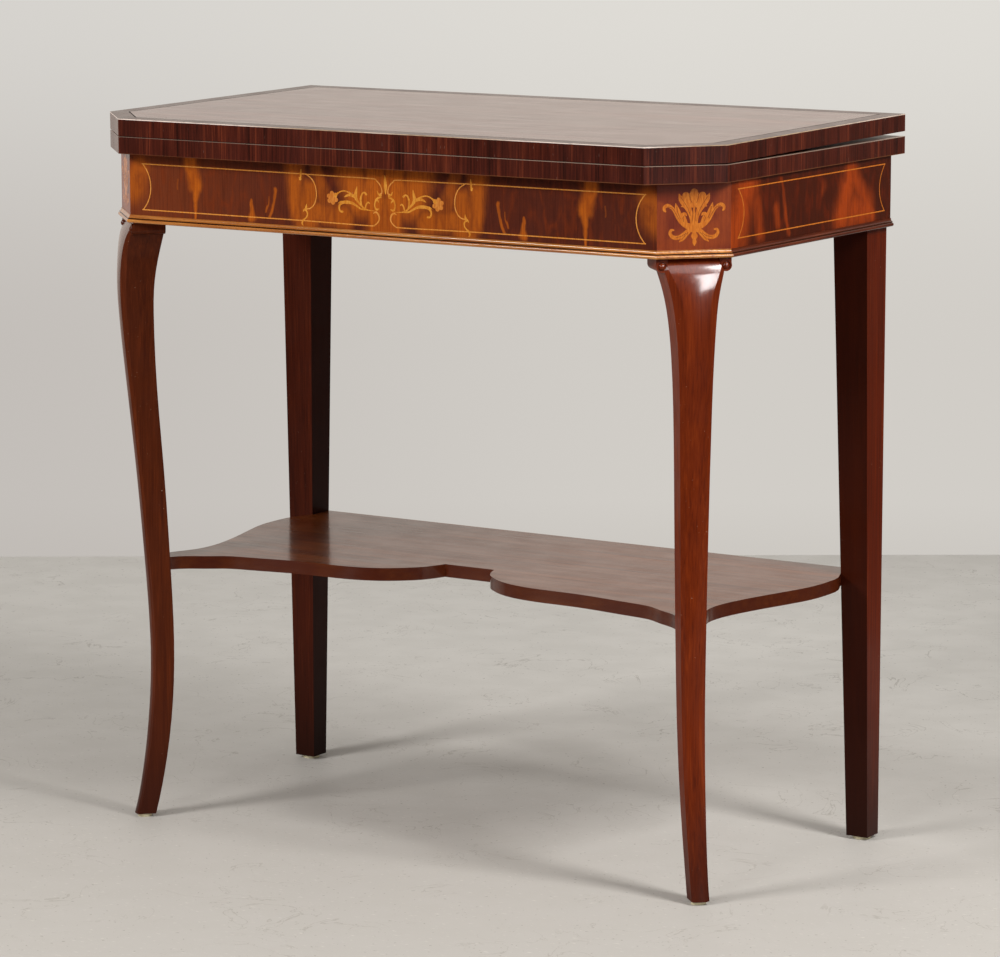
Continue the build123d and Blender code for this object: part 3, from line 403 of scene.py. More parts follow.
def crossbanded_edge():
    """Edges of the leaves: rosewood laid across; fine upright streaks, and pale lines along the arrises
    that are wear with a painted highlight.
    """
    material, shader, add, place = start_material("rosewood_crossband_edge")
    colour = wood_streaks(add, place, "Z", 1.8, 70.0, "#2a0f09", "#4a1c12", "#6e301c", offset=6.0)
    ticks = cloudy(add, place, (0.9, 0.9, 9.0), low=0.77, high=0.82, most=0.55, detail=1.0, offset=8.0)
    colour = add("Mix", {"Factor": ticks, "A": colour, "B": "#8d7266"}, "Result", data_type="RGBA")
    height = add("SeparateXYZ", {0: place}, "Z")
    # The arrises are painted pale in patches, wear with a painted highlight, the highlight stronger to
    # the right
    patchy_wear_and_highlight = cloudy(add, place, (60.0, 60.0, 9.0), low=0.2, high=0.5, least=0.4, detail=2.0, offset=1.5)
    highlight_to_right = add("MapRange", {
        "Value": add("SeparateXYZ", {0: place}, "X"), "From Min": -0.3, "From Max": 0.25,
        "To Min": 0.45, "To Max": 1.0,
    })
    patchy_wear_and_highlight = add("Math", {0: patchy_wear_and_highlight, 1: highlight_to_right}, operation="MULTIPLY")
    for edge, depth, tone, strength in (
        (lower_high.z, 0.6 * MM, "#a8907f", 0.8), (lower_low.z, 0.8 * MM, "#7a4a2c", 0.6),
    ):
        away = add("Math", {0: height, 1: edge, 2: depth}, operation="COMPARE")
        worn_and_lit = add("Math", {0: away, 1: patchy_wear_and_highlight}, operation="MULTIPLY")
        worn_and_lit = add("Math", {0: worn_and_lit, 1: strength}, operation="MULTIPLY")
        colour = add("Mix", {"Factor": worn_and_lit, "A": colour, "B": tone}, "Result", data_type="RGBA")
    colour, pores = add_pores(add, place, "Z", colour, width=0.3, length=6.0, depth=0.4)
    polish(shader, add, place, colour, roughness=0.36, coat=0.6, coat_roughness=0.14, pores=pores)
    return material


def crossbanded_border():
    """Border of the top: rosewood laid across each edge; its cut edge is painted as a pale line, wear
    with a painted highlight.
    """
    material, shader, add, place = start_material("rosewood_crossband_border")
    side = add("Math", {0: add("SeparateXYZ", {0: place}, "X")}, operation="ABSOLUTE")
    to_side = add("Math", {0: border_high.x, 1: side}, operation="SUBTRACT")
    to_front = add("Math", {
        0: add("SeparateXYZ", {0: place}, "Y"), 1: border_low.y,
    }, operation="SUBTRACT")
    to_rear = add("Math", {
        0: border_high.y, 1: add("SeparateXYZ", {0: place}, "Y"),
    }, operation="SUBTRACT")
    nearest = add("Math", {0: to_front, 1: to_rear}, operation="MINIMUM")
    beside = add("Math", {0: to_side, 1: nearest}, operation="LESS_THAN")
    bands = [
        wood_streaks(add, place, grain, 1.8, 70.0, "#2a0f0b", "#43201a", "#5c3226", offset=6.0)
        for grain in "YX"
    ]
    colour = add("Mix", {"Factor": beside, "A": bands[0], "B": bands[1]}, "Result", data_type="RGBA")
    # Painted highlight and wear: upright faces of the cut edge painted pale, near white in patches
    level = add("SeparateXYZ", {0: add("NewGeometry", output="Normal")}, "Z")
    cut = add("MapRange", {"Value": level, "From Min": 0.95, "From Max": 0.6})
    worn_and_lit = cloudy(add, place, 12.0, low=0.3, high=0.5, least=0.75)
    cut = add("Math", {0: cut, 1: worn_and_lit}, operation="MULTIPLY")
    highlight_patches = cloudy(add, place, (160.0, 400.0, 400.0), low=0.35, high=0.6, detail=1.0, offset=2.2)
    pale = add("Mix", {"Factor": highlight_patches, "A": "#b89c80", "B": "#f4e0d4"}, "Result", data_type="RGBA")
    colour = add("Mix", {"Factor": cut, "A": colour, "B": pale}, "Result", data_type="RGBA")
    polish(shader, add, place, colour, roughness=0.3, coat=0.4, coat_roughness=0.1)
    return material


# Apron front: figured mahogany veneer, book-matched; fiery streaks on a dark ground, half-gloss
front_streaks = [
    ((243, 60), (237, 34), 8.0, 6.5, 0.95), ((237, 36), (237, 0), 3.6, 1.8, 0.9),
    ((166, 5), (167, 24), 4.0, 1.0, 0.9), ((141, 8), (134, 36), 1.5, 2.2, 0.75),
    ((146, 12), (144, 28), 0.7, 0.5, 0.5), ((262, 30), (261, 40), 1.0, 0.8, 0.35),
    ((112, 62), (110, 12), 11.0, 8.0, 0.8), ((96, 0), (92, 40), 14.0, 9.0, 0.7),
    ((45, 66), (30, 30), 16.0, 18.0, 0.85), ((12, 62), (10, 0), 12.0, 13.0, 0.9),
    ((2, 56), (2, 40), 2.0, 3.0, 1.0), ((50, 12), (86, 16), 12.0, 10.0, 0.7),
    ((84, 60), (70, 20), 6.0, 8.0, 0.5), ((318, 30), (306, 52), 16.0, 10.0, 0.6),
]
# Apron sides: the same veneer, laid with its fire at both ends
side_streaks = [
    ((-143, 0), (-112, 60), 22.0, 20.0, 0.95), ((-92, 40), (-84, 8), 9.0, 7.0, 0.6),
    ((-52, 32), (-47, 14), 5.0, 4.0, 0.55), ((-42, 60), (-26, 4), 2.0, 2.4, 0.6),
    ((84, 10), (104, 54), 15.0, 12.0, 0.95), ((108, 14), (136, 14), 18.0, 16.0, 0.9),
    ((112, 52), (150, 6), 9.0, 8.0, 0.85), ((48, 46), (44, 40), 5.0, 4.0, 0.3),
]
# Cant veneers: a calmer cut of the same wood, redder than the front
cant_streaks = [
    ((330, 2), (372, 20), 12.0, 14.0, 0.45), ((368, 30), (372, 60), 6.0, 8.0, 0.5),
    ((322, 44), (322, 8), 4.0, 6.0, 0.35),
]
front_figure = figured_veneer(
    "book_matched_mahogany_front", axis="X", centre=inlay_centre, matched=True, streaks=front_streaks,
    base="#542315", fire="#bd5f12", red="#7c300d", softness=0.6, faded=(-0.08, -0.3, "#74351a"))
side_figure = figured_veneer(
    "figured_mahogany_side", axis="Y", centre=0.0, matched=False, streaks=side_streaks, base="#451808",
    fire="#a53f0c", red="#6c2206", fibre_share=0.4, softness=0.95)
cant_figure = figured_veneer(
    "figured_mahogany_cant", axis="X", centre=0.0, matched=True, streaks=cant_streaks, base="#702a17",
    fire="#a0481a", red="#7e3317", fibre_share=0.2)


def satinwood(name, base, light):
    """Inlay: satinwood and boxwood, sawn thin, yellowed by polish; bright, with a faint close grain."""
    material, shader, add, place = start_material(name)
    grain = cloudy(add, place, (1.2, 1.2, 6.0), low=0.3, high=0.7, distortion=0.5)
    blotch = cloudy(add, place, 4.0, low=0.5, high=0.8, most=0.3, detail=2.0, offset=3.0)
    colour = add("Mix", {"Factor": grain, "A": base, "B": light}, "Result", data_type="RGBA")
    colour = add("Mix", {"Factor": blotch, "A": colour, "B": "#a8591a"}, "Result", data_type="RGBA")
    polish(shader, add, place, colour, roughness=0.42, coat=0.7, coat_roughness=0.16, wave=0.01)
    return material


inlay_light = satinwood("satinwood_inlay", "#c87820", "#e0983a")
inlay_cant = satinwood("darkened_satinwood_inlay", "#b65c16", "#d07a26")
inlay_side = satinwood("darkened_boxwood_string", "#b85e16", "#cc7a2c")
inlay_string = satinwood("boxwood_string", "#cf7f2a", "#e2984a")
inlay_petal = satinwood("shaded_satinwood_petals", "#c06a22", "#d98a3c")


def wool_baize():
    """Lining: wool baize, felted and glued down; matt green, with a nap that pales at a low angle."""
    material, shader, add, place = start_material("green_wool_baize")
    nap = cloudy(add, place, 0.8, low=0.3, high=0.7, detail=4.0)
    wear = cloudy(add, place, 60.0, low=0.45, high=0.75, most=0.35)
    colour = add("Mix", {"Factor": nap, "A": "#1c3d26", "B": "#2c5536"}, "Result", data_type="RGBA")
    colour = add("Mix", {"Factor": wear, "A": colour, "B": "#466a48"}, "Result", data_type="RGBA")
    wire(shader, Base_Color=colour, Normal=add("Bump", {
        "Height": nap, "Strength": 0.3, "Distance": 0.15 * MM,
    }))
    shader.inputs["Roughness"].default_value = 0.95
    shader.inputs["Sheen Weight"].default_value = 0.35
    shader.inputs["Sheen Roughness"].default_value = 0.5
    return material


def metal(name, bright, dull, roughness, scratch_size):
    """Metal, filed or turned and gone dull; fine scratches and darker tarnish in patches."""
    material, shader, add, place = start_material(name)
    tarnish = cloudy(add, place, 7.0, low=0.4, high=0.65, detail=4.0)
    rough = cloudy(
        add, place, scratch_size, low=0.3, high=0.7, least=roughness * 0.7, most=roughness * 1.3,
        distortion=0.2)
    scratches = add("Bump", {"Height": rough, "Strength": 1.0, "Distance": 0.02 * MM})
    colour = add("Mix", {"Factor": tarnish, "A": bright, "B": dull}, "Result", data_type="RGBA")
    wire(shader, Base_Color=colour, Roughness=rough, Normal=scratches)
    shader.inputs["Metallic"].default_value = 1.0
    return material


def moulded_nylon():
    """Glides: nylon, moulded; cream, smooth and scuffed grey at the floor."""
    material, shader, add, place = start_material("moulded_nylon")
    low = add("MapRange", {
        "Value": add("SeparateXYZ", {0: place}, "Z"), "From Min": 2.0 * MM, "From Max": 0.0,
        "To Max": 0.7,
    })
    scuffs = cloudy(add, place, (2.0, 2.0, 0.8), low=0.35, high=0.65, detail=4.0)
    dirt = add("Math", {0: low, 1: scuffs}, operation="MULTIPLY")
    colour = add("Mix", {"Factor": scuffs, "A": "#d8cda6", "B": "#e4dcbc"}, "Result", data_type="RGBA")
    colour = add("Mix", {"Factor": dirt, "A": colour, "B": "#8d8368"}, "Result", data_type="RGBA")
    wire(shader, Base_Color=colour, Roughness=add("MapRange", {
        "Value": scuffs, "To Min": 0.35, "To Max": 0.55,
    }))
    return material


edge_band = crossbanded_edge()
border_band = crossbanded_border()
baize = wool_baize()
# Hinges and bush: cast brass, filed flat and aged
aged_brass = metal(
    "aged_brass", bright="#b8924a", dull="#7d5c2a", roughness=0.38, scratch_size=(0.4, 6.0, 0.4))
# Screws, bolt, plate and nails: mild steel, bright-drawn and gone grey
dull_steel = metal(
    "dull_steel", bright="#9a9a98", dull="#63605c", roughness=0.42, scratch_size=(0.5, 0.5, 4.0))
nylon = moulded_nylon()

# Materials of the CAD nodes, by the record's slots and, for the apron veneers, by the node
slot_materials = {
    "leg_wood": leg_mahogany, "shelf_wood": shelf_mahogany, "leaf_core": stained_boards,
    "leaf_edge_veneer": edge_band, "top_veneer": field_rosewood, "top_line_wood": line_ebonised,
    "frame_wood": bare_beech, "apron_veneer": front_figure, "moulding_wood": moulding_mahogany,
    "lining": baize, "hinge_brass": aged_brass, "steel": dull_steel, "glide_plastic": nylon,
}
node_materials = {
    "top_border": border_band, "left_side_veneer": side_figure, "right_side_veneer": side_figure,
    "left_cant_veneer": cant_figure, "right_cant_veneer": cant_figure,
    "left_front_leg": shaded_knee_mahogany, "right_front_leg": knee_mahogany,
    "left_rear_leg": shaded_mahogany,
    "left_side_moulding": shaded_side_moulding, "right_side_moulding": shaded_side_moulding,
}
arris_widths = {
    "leg_wood": 1.3, "shelf_wood": 1.0, "leaf_edge_veneer": 0.35, "moulding_wood": 0.15,
    "frame_wood": 0.4, "glide_plastic": 0.5, "leaf_core": 0.3,
}
sharp_edge = math.radians(35)
for subpart in frame["record"]["subparts"]:
    node = frame["nodes"][subpart["node"]]
    slot_name = subpart["material_slot"]
    node.data.materials.clear()
    node.data.materials.append(node_materials.get(subpart["node"], slot_materials[slot_name]))
    if slot_name in arris_widths and subpart["node"] != "top_border":
        arris = node.modifiers.new("worn_arris", "BEVEL")
        arris.width = arris_widths[slot_name] * MM
        arris.segments = 2
        arris.limit_method = "ANGLE"
        arris.angle_limit = sharp_edge
        arris.harden_normals = True


def smooth_line(points):
    """Places along a smooth line through given places, each across, up and width."""
    places = [Vector(point) for point in points]
    line = [places[0]]
    for here in range(len(places) - 1):
        before = places[max(here - 1, 0)]
        after = places[min(here + 2, len(places) - 1)]
        start, end = places[here], places[here + 1]
        line += interpolate_bezier(
            start, start + (end - before) / 6, end - (after - start) / 6, end, curve_steps)[1:]
    return line


def rounded_ends(line):
    """The same line with a half-round drawn on at each end."""
    caps = []
    for end, inner in ((line[0], line[1]), (line[-1], line[-2])):
        direction = Vector((end.x - inner.x, end.y - inner.y)).normalized()
        radius = end.z / 2
        cap = []
        for step in range(1, cap_steps + 1):
            turn = math.pi / 2 * step / cap_steps
            reach = direction * (radius * math.sin(turn))
            width = max(end.z * math.cos(turn), end.z * cap_least)
            cap.append(Vector((end.x + reach.x, end.y + reach.y, width)))
        caps.append(cap)
    return caps[0][::-1] + line + caps[1]


def lay_strip(sheet, face, points, mirrored, rise):
    """Add one closed strip of changing width to a mesh, let into a face."""
    line = smooth_line(points) if len(points) > 2 else [Vector(point) for point in points]
    line = rounded_ends(line)
    rows = []
    for here, place in enumerate(line):
        ahead = line[min(here + 1, len(line) - 1)]
        behind = line[max(here - 1, 0)]
        run = Vector((ahead.x - behind.x, ahead.y - behind.y)).normalized()
        row = []
        for side in (-1, 1):
            across = place.x - side * run.y * place.z / 2
            up = place.y + side * run.x * place.z / 2
            for out in (rise, -inlay_depth):
                spot = face @ Vector(((-across if mirrored else across) * MM, up * MM, out))
                row.append(sheet.verts.new(spot))
        rows.append(row)
    for first, second in zip(rows, rows[1:]):
        for a, b in ((0, 2), (2, 3), (3, 1), (1, 0)):
            sheet.faces.new((first[a], first[b], second[b], second[a]))
    sheet.faces.new((rows[0][0], rows[0][1], rows[0][3], rows[0][2]))
    sheet.faces.new((rows[-1][0], rows[-1][2], rows[-1][3], rows[-1][1]))


def inlay_piece(name, material, face, strips, both_sides=True, rise=inlay_rise):
    """One piece of inlay made of strips, drawn once or on both sides of the middle."""
    sheet = bmesh.new()
    for number, points in enumerate(strips):
        level = rise + number * inlay_step
        lay_strip(sheet, face, points, mirrored=False, rise=level)
        if both_sides:
            lay_strip(sheet, face, points, mirrored=True, rise=level)
    bmesh.ops.recalc_face_normals(sheet, faces=sheet.faces)
    mesh = bpy.data.meshes.new(name)
    sheet.to_mesh(mesh)
    sheet.free()
    mesh.materials.append(material)
    piece = bpy.data.objects.new(name, mesh)
    bpy.context.collection.objects.link(piece)
    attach(piece, "frame")


def face_plane(origin, along, outward):
    """Matrix from a drawing's across, up and out to the row frame."""
    columns = Matrix((along, Vector((0, 0, 1)), outward)).transposed().to_4x4()
    return Matrix.Translation(origin) @ columns


cant_start = Vector((front_high.x, front_low.y, 0))
cant_end = Vector((side_high.x, side_low.y, 0))
cant_along = (cant_end - cant_start).normalized()
cant_middle = (cant_start + cant_end) / 2
front_face = face_plane(
    Vector((inlay_centre, front_low.y, veneer_foot)), Vector((1, 0, 0)), Vector((0, -1, 0)))
cant_faces = {
    "right": face_plane(
        Vector((cant_middle.x, cant_middle.y, veneer_foot)), cant_along,
        Vector((cant_along.y, -cant_along.x, 0))),
    "left": face_plane(
        Vector((-cant_middle.x, cant_middle.y, veneer_foot)), Vector((-cant_along.x, cant_along.y, 0)),
        Vector((-cant_along.y, -cant_along.x, 0))),
}
side_faces = {
    "right": face_plane(Vector((side_high.x, 0, veneer_foot)), Vector((0, 1, 0)), Vector((1, 0, 0))),
    "left": face_plane(Vector((-side_high.x, 0, veneer_foot)), Vector((0, 1, 0)), Vector((-1, 0, 0))),
}

# Stringing of the apron front, right-hand half
top_string = 54.0
low_string = 6.0
panel_end = 304.8
front_strings = [
    [(panel_end + 0.8, top_string, string_width), (96.5, top_string - 0.3, string_width)],
    [(panel_end + 0.8, low_string, string_width), (100.5, low_string, string_width)],
    [
        (panel_end, top_string, string_width), (299.2, 46.5, string_width), (295.9, 38.5, string_width),
        (294.8, 30.0, string_width), (295.9, 21.5, string_width), (299.2, 13.5, string_width),
        (panel_end, low_string, string_width),
    ],
    [
        (96.5, 53.5, string_width), (90.0, 49.3, string_width), (85.8, 43.0, string_width),
        (84.1, 35.0, string_width), (85.0, 27.5, string_width), (88.0, 22.0, string_width),
        (92.0, 19.0, string_width), (96.0, 18.2, 1.5),
    ],
    [
        (96.5, 53.6, string_width), (60.0, 53.4, string_width), (16.0, 53.2, string_width),
        (10.3, 51.3, 1.2), (5.9, 47.3, 1.2), (3.8, 42.3, 1.2), (4.0, 39.2, 1.6), (6.0, 37.4, 2.4),
    ],
    [
        (100.5, low_string, string_width), (60.0, 5.6, string_width), (18.0, 5.3, string_width),
        (12.8, 6.2, 1.2), (9.5, 8.4, 1.3), (7.2, 11.6, 1.5), (7.0, 15.0, 1.7), (8.7, 18.2, 1.9),
        (11.4, 19.5, 1.7), (13.8, 18.2, 0.9),
    ],
]
# Scrolls at the ends of the middle panel and round its centre, right-hand half
front_scrolls = [
    [(98.0, 16.8, 2.4), (96.9, 19.8, 2.4), (96.4, 23.0, 0.6)],
    [(96.5, 18.2, 1.6), (99.2, 17.6, 1.6), (100.6, 15.3, 0.7)],
    [
        (97.4, 17.2, 1.8), (95.4, 14.2, 1.5), (95.7, 11.2, 1.3), (97.8, 8.5, 1.5), (100.9, 6.0, 2.2),
        (102.0, 3.1, 1.7), (100.9, 1.0, 0.8),
    ],
    [(103.0, 58.2, 0.8), (103.4, 54.0, 2.3), (103.6, 50.6, 1.9), (104.1, 48.2, 2.7)],
    [(104.0, 48.2, 2.0), (105.6, 49.9, 0.8)],
    [(5.0, 36.6, 2.4), (7.9, 38.2, 1.8), (9.4, 41.0, 0.5)],
    [
        (4.6, 34.7, 1.0), (7.6, 34.3, 2.0), (10.8, 31.8, 2.2), (12.3, 28.0, 1.4), (12.1, 24.6, 1.4),
        (10.2, 22.2, 2.2), (7.2, 23.0, 1.1),
    ],
    [(10.6, 31.9, 1.8), (8.3, 31.0, 1.5), (7.5, 29.4, 0.7)],
]
# Leafy sprays that run in from the flower heads, right-hand half
front_sprays = [
    [(12.8, 20.6, 0.5), (18.0, 20.9, 0.8), (23.0, 21.5, 1.6), (26.5, 22.6, 2.2)],
    [(24.8, 21.8, 1.7), (23.5, 24.2, 1.6), (22.6, 27.0, 1.6), (20.6, 28.9, 1.7), (18.9, 28.1, 1.1)],
    [
        (25.5, 22.6, 1.6), (28.2, 25.2, 1.6), (29.4, 29.5, 1.9), (29.2, 33.5, 2.2), (27.6, 37.3, 1.8),
        (25.0, 38.6, 1.7), (22.7, 36.9, 2.4),
    ],
    [(25.5, 22.0, 1.4), (29.5, 25.8, 1.8), (33.5, 29.8, 2.5), (35.8, 33.0, 3.4)],
    [(35.2, 31.5, 3.2), (35.7, 36.0, 3.8), (34.9, 40.0, 2.8), (34.0, 44.3, 0.6)],
    [
        (34.5, 32.0, 2.8), (38.5, 34.8, 2.5), (43.0, 37.2, 1.7), (49.0, 39.0, 1.3), (54.5, 38.0, 1.4),
        (58.3, 35.2, 1.3),
    ],
    [(37.0, 33.6, 2.4), (42.5, 35.2, 2.8), (46.5, 34.4, 2.2), (49.8, 32.7, 0.5)],
    [(57.2, 36.9, 1.2), (60.6, 33.6, 3.8)],
    [
        (24.0, 21.3, 1.6), (29.0, 21.8, 1.8), (34.0, 24.3, 2.0), (39.5, 27.0, 2.8), (45.5, 27.7, 3.5),
        (51.0, 27.3, 3.1), (55.0, 24.8, 2.5), (56.0, 21.2, 2.0), (54.5, 18.1, 1.9), (51.9, 17.8, 2.4),
    ],
    [(49.0, 28.0, 1.8), (54.0, 27.8, 1.4), (57.2, 25.9, 0.4)],
]
flower_centre = (64.2, 31.2)
petal_count = 6
petal_reach = 4.7
petal_turned = 0.35
# Shares of a petal's reach, each with the petal's width there
petal_widths = ((0.1, 1.6), (0.45, 4.4), (0.8, 5.4), (0.98, 5.0))
front_petals = []
for number in range(petal_count):
    turn = 2 * math.pi * (number + petal_turned) / petal_count
    east, north = math.cos(turn), math.sin(turn)
    front_petals.append([
        (
            flower_centre[0] + east * share * petal_reach,
            flower_centre[1] + north * share * petal_reach,
            width,
        )
        for share, width in petal_widths
    ])
# Tall bud on the middle joint
centre_bud = [[(0.0, 57.0, 0.7), (0.5, 50.0, 3.4), (0.7, 45.0, 3.8), (0.8, 38.6, 1.0)]]

# Palmette on each canted corner, right-hand half and the pieces on its middle
palmette_leaves = [
    [
        (8.5, 23.5, 3.8), (13.5, 27.5, 3.6), (17.3, 33.0, 3.2), (20.0, 38.5, 3.0), (23.5, 42.3, 3.2),
        (27.2, 43.7, 3.6), (29.9, 42.0, 3.3), (30.1, 39.4, 2.7), (28.9, 38.0, 1.6),
    ],
    [(9.5, 25.0, 3.4), (13.5, 29.5, 4.6), (16.0, 36.0, 5.6), (17.6, 41.0, 4.0), (18.6, 45.6, 0.6)],
    [
        (7.5, 24.5, 3.2), (11.3, 27.5, 4.0), (12.6, 31.5, 4.2), (11.4, 34.6, 3.6), (9.0, 35.1, 2.8),
        (7.6, 33.5, 1.0),
    ],
    [(9.9, 33.0, 1.8), (9.0, 29.5, 3.0), (7.6, 26.0, 2.4)],
    [
        (1.8, 25.0, 3.4), (3.0, 33.0, 4.2), (6.0, 40.5, 6.2), (9.6, 46.0, 7.4), (13.2, 50.0, 5.4),
        (15.4, 54.8, 0.7),
    ],
    [(6.6, 39.0, 3.2), (10.0, 42.6, 2.8), (12.9, 42.4, 0.8)],
    [(0.0, 22.4, 6.0), (5.5, 22.9, 6.2), (11.0, 25.4, 4.4)],
    [
        (1.0, 19.4, 3.6), (6.0, 18.4, 4.2), (10.5, 15.0, 4.2), (15.0, 12.5, 4.0), (19.5, 12.2, 3.9),
        (22.8, 14.0, 3.5), (24.2, 17.0, 3.0), (23.0, 19.6, 2.6), (20.7, 19.6, 1.7),
    ],
    [(4.5, 18.0, 2.8), (8.5, 14.5, 4.0), (11.5, 10.8, 3.4), (14.8, 8.0, 0.8)],
]
palmette_middle = [
    [(0.0, 44.0, 2.4), (0.0, 34.0, 3.0), (0.0, 27.0, 4.8), (0.0, 22.5, 6.4)],
    [(0.0, 24.0, 5.4), (0.0, 19.0, 3.8), (0.2, 15.5, 3.4)],
    [(0.3, 16.4, 3.8), (0.4, 13.2, 6.8), (0.5, 10.4, 3.4)],
    [(0.5, 10.6, 2.6), (0.5, 7.4, 4.2), (0.5, 4.6, 1.6)],
]
palmette_petals = [
    [(2.0, 43.0, 3.8), (5.2, 46.6, 6.4), (7.4, 50.2, 8.0), (8.4, 52.8, 7.4)],
]
palmette_crown = [[(0.0, 43.6, 5.4), (0.0, 50.0, 9.4), (0.0, 54.6, 9.2), (0.0, 56.0, 7.6)]]
engraved_width = 0.4
palmette_lines = [
    [(1.2, 42.0), (1.3, 35.0), (2.0, 28.0)],
    [(3.8, 33.5), (6.2, 40.2), (9.8, 46.2), (13.4, 51.4)],
    [(14.0, 31.0), (16.5, 37.0), (17.6, 42.0)],
    [(15.2, 30.2), (18.7, 36.2), (22.2, 41.0), (26.8, 42.6)],
    [(10.6, 27.6), (11.2, 31.4), (9.9, 33.6)],
    [(8.0, 16.4), (13.0, 13.4), (18.0, 12.4)],
    [(2.2, 46.0), (4.0, 50.0), (4.5, 54.0)],
    [(6.0, 17.0), (9.5, 13.6), (12.5, 10.2)],
]
palmette_lines = [[(across, up, engraved_width) for across, up in line] for line in palmette_lines]

inlay_piece("front_stringing", inlay_string, front_face, front_strings)
inlay_piece("front_scrolls", inlay_light, front_face, front_scrolls)
inlay_piece("front_sprays", inlay_light, front_face, front_sprays)
inlay_piece("front_flowers", inlay_petal, front_face, front_petals)
inlay_piece("front_bud", inlay_light, front_face, centre_bud, both_sides=False)
for side, cant_face in cant_faces.items():
    inlay_piece(f"{side}_palmette_leaves", inlay_cant, cant_face, palmette_leaves)
    inlay_piece(f"{side}_palmette_stem", inlay_cant, cant_face, palmette_middle, both_sides=False,
                rise=inlay_rise + 0.03 * MM)
    inlay_piece(f"{side}_palmette_petals", inlay_cant, cant_face, palmette_petals)
    inlay_piece(f"{side}_palmette_crown", inlay_cant, cant_face, palmette_crown, both_sides=False,
                rise=inlay_rise + 0.02 * MM)
    inlay_piece(
        f"{side}_palmette_lines", engraved, cant_face, palmette_lines, rise=inlay_rise + 0.05 * MM)

# Stringing of the apron sides
side_top = 57.2
side_low = 9.0
side_front_end = -128.0
side_rear_end = 178.0
end_hollow = 11.0
side_middle = (side_top + side_low) / 2
side_strings = [
    [(side_front_end - 0.8, side_top, string_width), (side_rear_end + 0.8, side_top, string_width)],
    [(side_front_end - 0.8, side_low, string_width), (side_rear_end + 0.8, side_low, string_width)],
]
bow_shares = (-1.0, -0.66, -0.33, 0.0, 0.33, 0.66, 1.0)
for end, inwards in ((side_front_end, 1), (side_rear_end, -1)):
    side_strings.append([
        (
            end + inwards * end_hollow * (1 - share * share),
            side_middle + share * (side_top - side_middle),
            string_width,
        )
        for share in bow_shares
    ])
for side, side_face in side_faces.items():
    inlay_piece(f"{side}_side_stringing", inlay_side, side_face, side_strings, both_sides=False)


def concrete_floor():
    """Studio floor: painted concrete, rolled; pale warm grey, matt, with painted light brightening it
    towards the back and the right.
    """
    material, shader, add, place = start_material("painted_floor")
    back = add("VectorMath", {0: place, 1: view_flat}, "Value", operation="DOT_PRODUCT")
    aside = add("VectorMath", {0: place, 1: view_right}, "Value", operation="DOT_PRODUCT")
    # Painted light: the floor colour brightens towards the back and the right
    lit_back = add("MapRange", {"Value": back, "From Min": -0.1, "From Max": 1.5, "To Max": 0.9})
    lit_aside = add("MapRange", {"Value": aside, "From Min": -0.4, "From Max": 0.5, "To Max": 0.35})
    near = add("MapRange", {
        "Value": back, "From Min": -0.6, "From Max": 0.5, "To Min": 0.0, "To Max": 1.0,
    })
    floor_light = add("Math", {
        0: lit_aside, 1: near, 2: lit_back,
    }, operation="MULTIPLY_ADD", use_clamp=True)
    colour = add("Mix", {"Factor": floor_light, "A": "#c3beb7", "B": "#e7e3dc"}, "Result", data_type="RGBA")
    mottle = cloudy(add, place, 60.0, low=0.35, high=0.65, most=0.12, detail=5.0)
    colour = add("Mix", {"Factor": mottle, "A": colour, "B": "#bcb6ac"}, "Result", data_type="RGBA")
    scuffs = cloudy(add, place, (9.0, 4.0, 4.0), low=0.62, high=0.74, most=0.45)
    colour = add("Mix", {"Factor": scuffs, "A": colour, "B": "#e4dfd6"}, "Result", data_type="RGBA")
    specks = cloudy(add, place, 5.0, low=0.71, high=0.75, most=0.6, detail=1.0, offset=5.0)
    colour = add("Mix", {"Factor": specks, "A": colour, "B": "#8f887d"}, "Result", data_type="RGBA")
    veins = cloudy(add, place, 90.0, detail=6.0, distortion=1.2, offset=2.5)
    crack = add("Math", {0: veins, 1: 0.5, 2: 0.004}, operation="COMPARE")
    patches = cloudy(add, place, 120.0, low=0.45, high=0.6, most=0.4, detail=1.0, offset=7.0)
    crack = add("Math", {0: crack, 1: patches}, operation="MULTIPLY")
    colour = add("Mix", {"Factor": crack, "A": colour, "B": "#958d81"}, "Result", data_type="RGBA")
    wire(shader, Base_Color=colour, Roughness=add("MapRange", {
        "Value": mottle, "From Max": 0.12, "To Min": 0.55, "To Max": 0.62,
    }))
    shader.inputs["Specular IOR Level"].default_value = 0.3
    return material


view_flat = Vector((-math.sin(camera_yaw), math.cos(camera_yaw), 0))
view_right = Vector((math.cos(camera_yaw), math.sin(camera_yaw), 0))
floor_mesh = bpy.data.meshes.new("studio_floor")
floor_corners = [
    view_flat * back + view_right * aside
    for back, aside in (
        (wall_distance, -floor_aside), (-floor_front, -floor_aside),
        (-floor_front, floor_aside), (wall_distance, floor_aside),
    )
]
floor_mesh.from_pydata(floor_corners, [], [(0, 1, 2, 3)])
floor_mesh.materials.append(concrete_floor())
studio_floor = bpy.data.objects.new("studio_floor", floor_mesh)
bpy.context.collection.objects.link(studio_floor)


def softbox(name, place, aim, width, height, power, lights=True):
    """A soft lamp that the camera doesn't see, or a card that shows in the polish alone."""
    lamp = bpy.data.lights.new(name, "AREA")
    lamp.shape = "RECTANGLE"
    lamp.size = width
    lamp.size_y = height
    lamp.energy = power
    holder = bpy.data.objects.new(name, lamp)
    holder.location = place
    holder.rotation_euler = (Vector(aim) - Vector(place)).to_track_quat("-Z", "Y").to_euler()
    holder.visible_camera = False
    holder.visible_diffuse = lights
    bpy.context.collection.objects.link(holder)


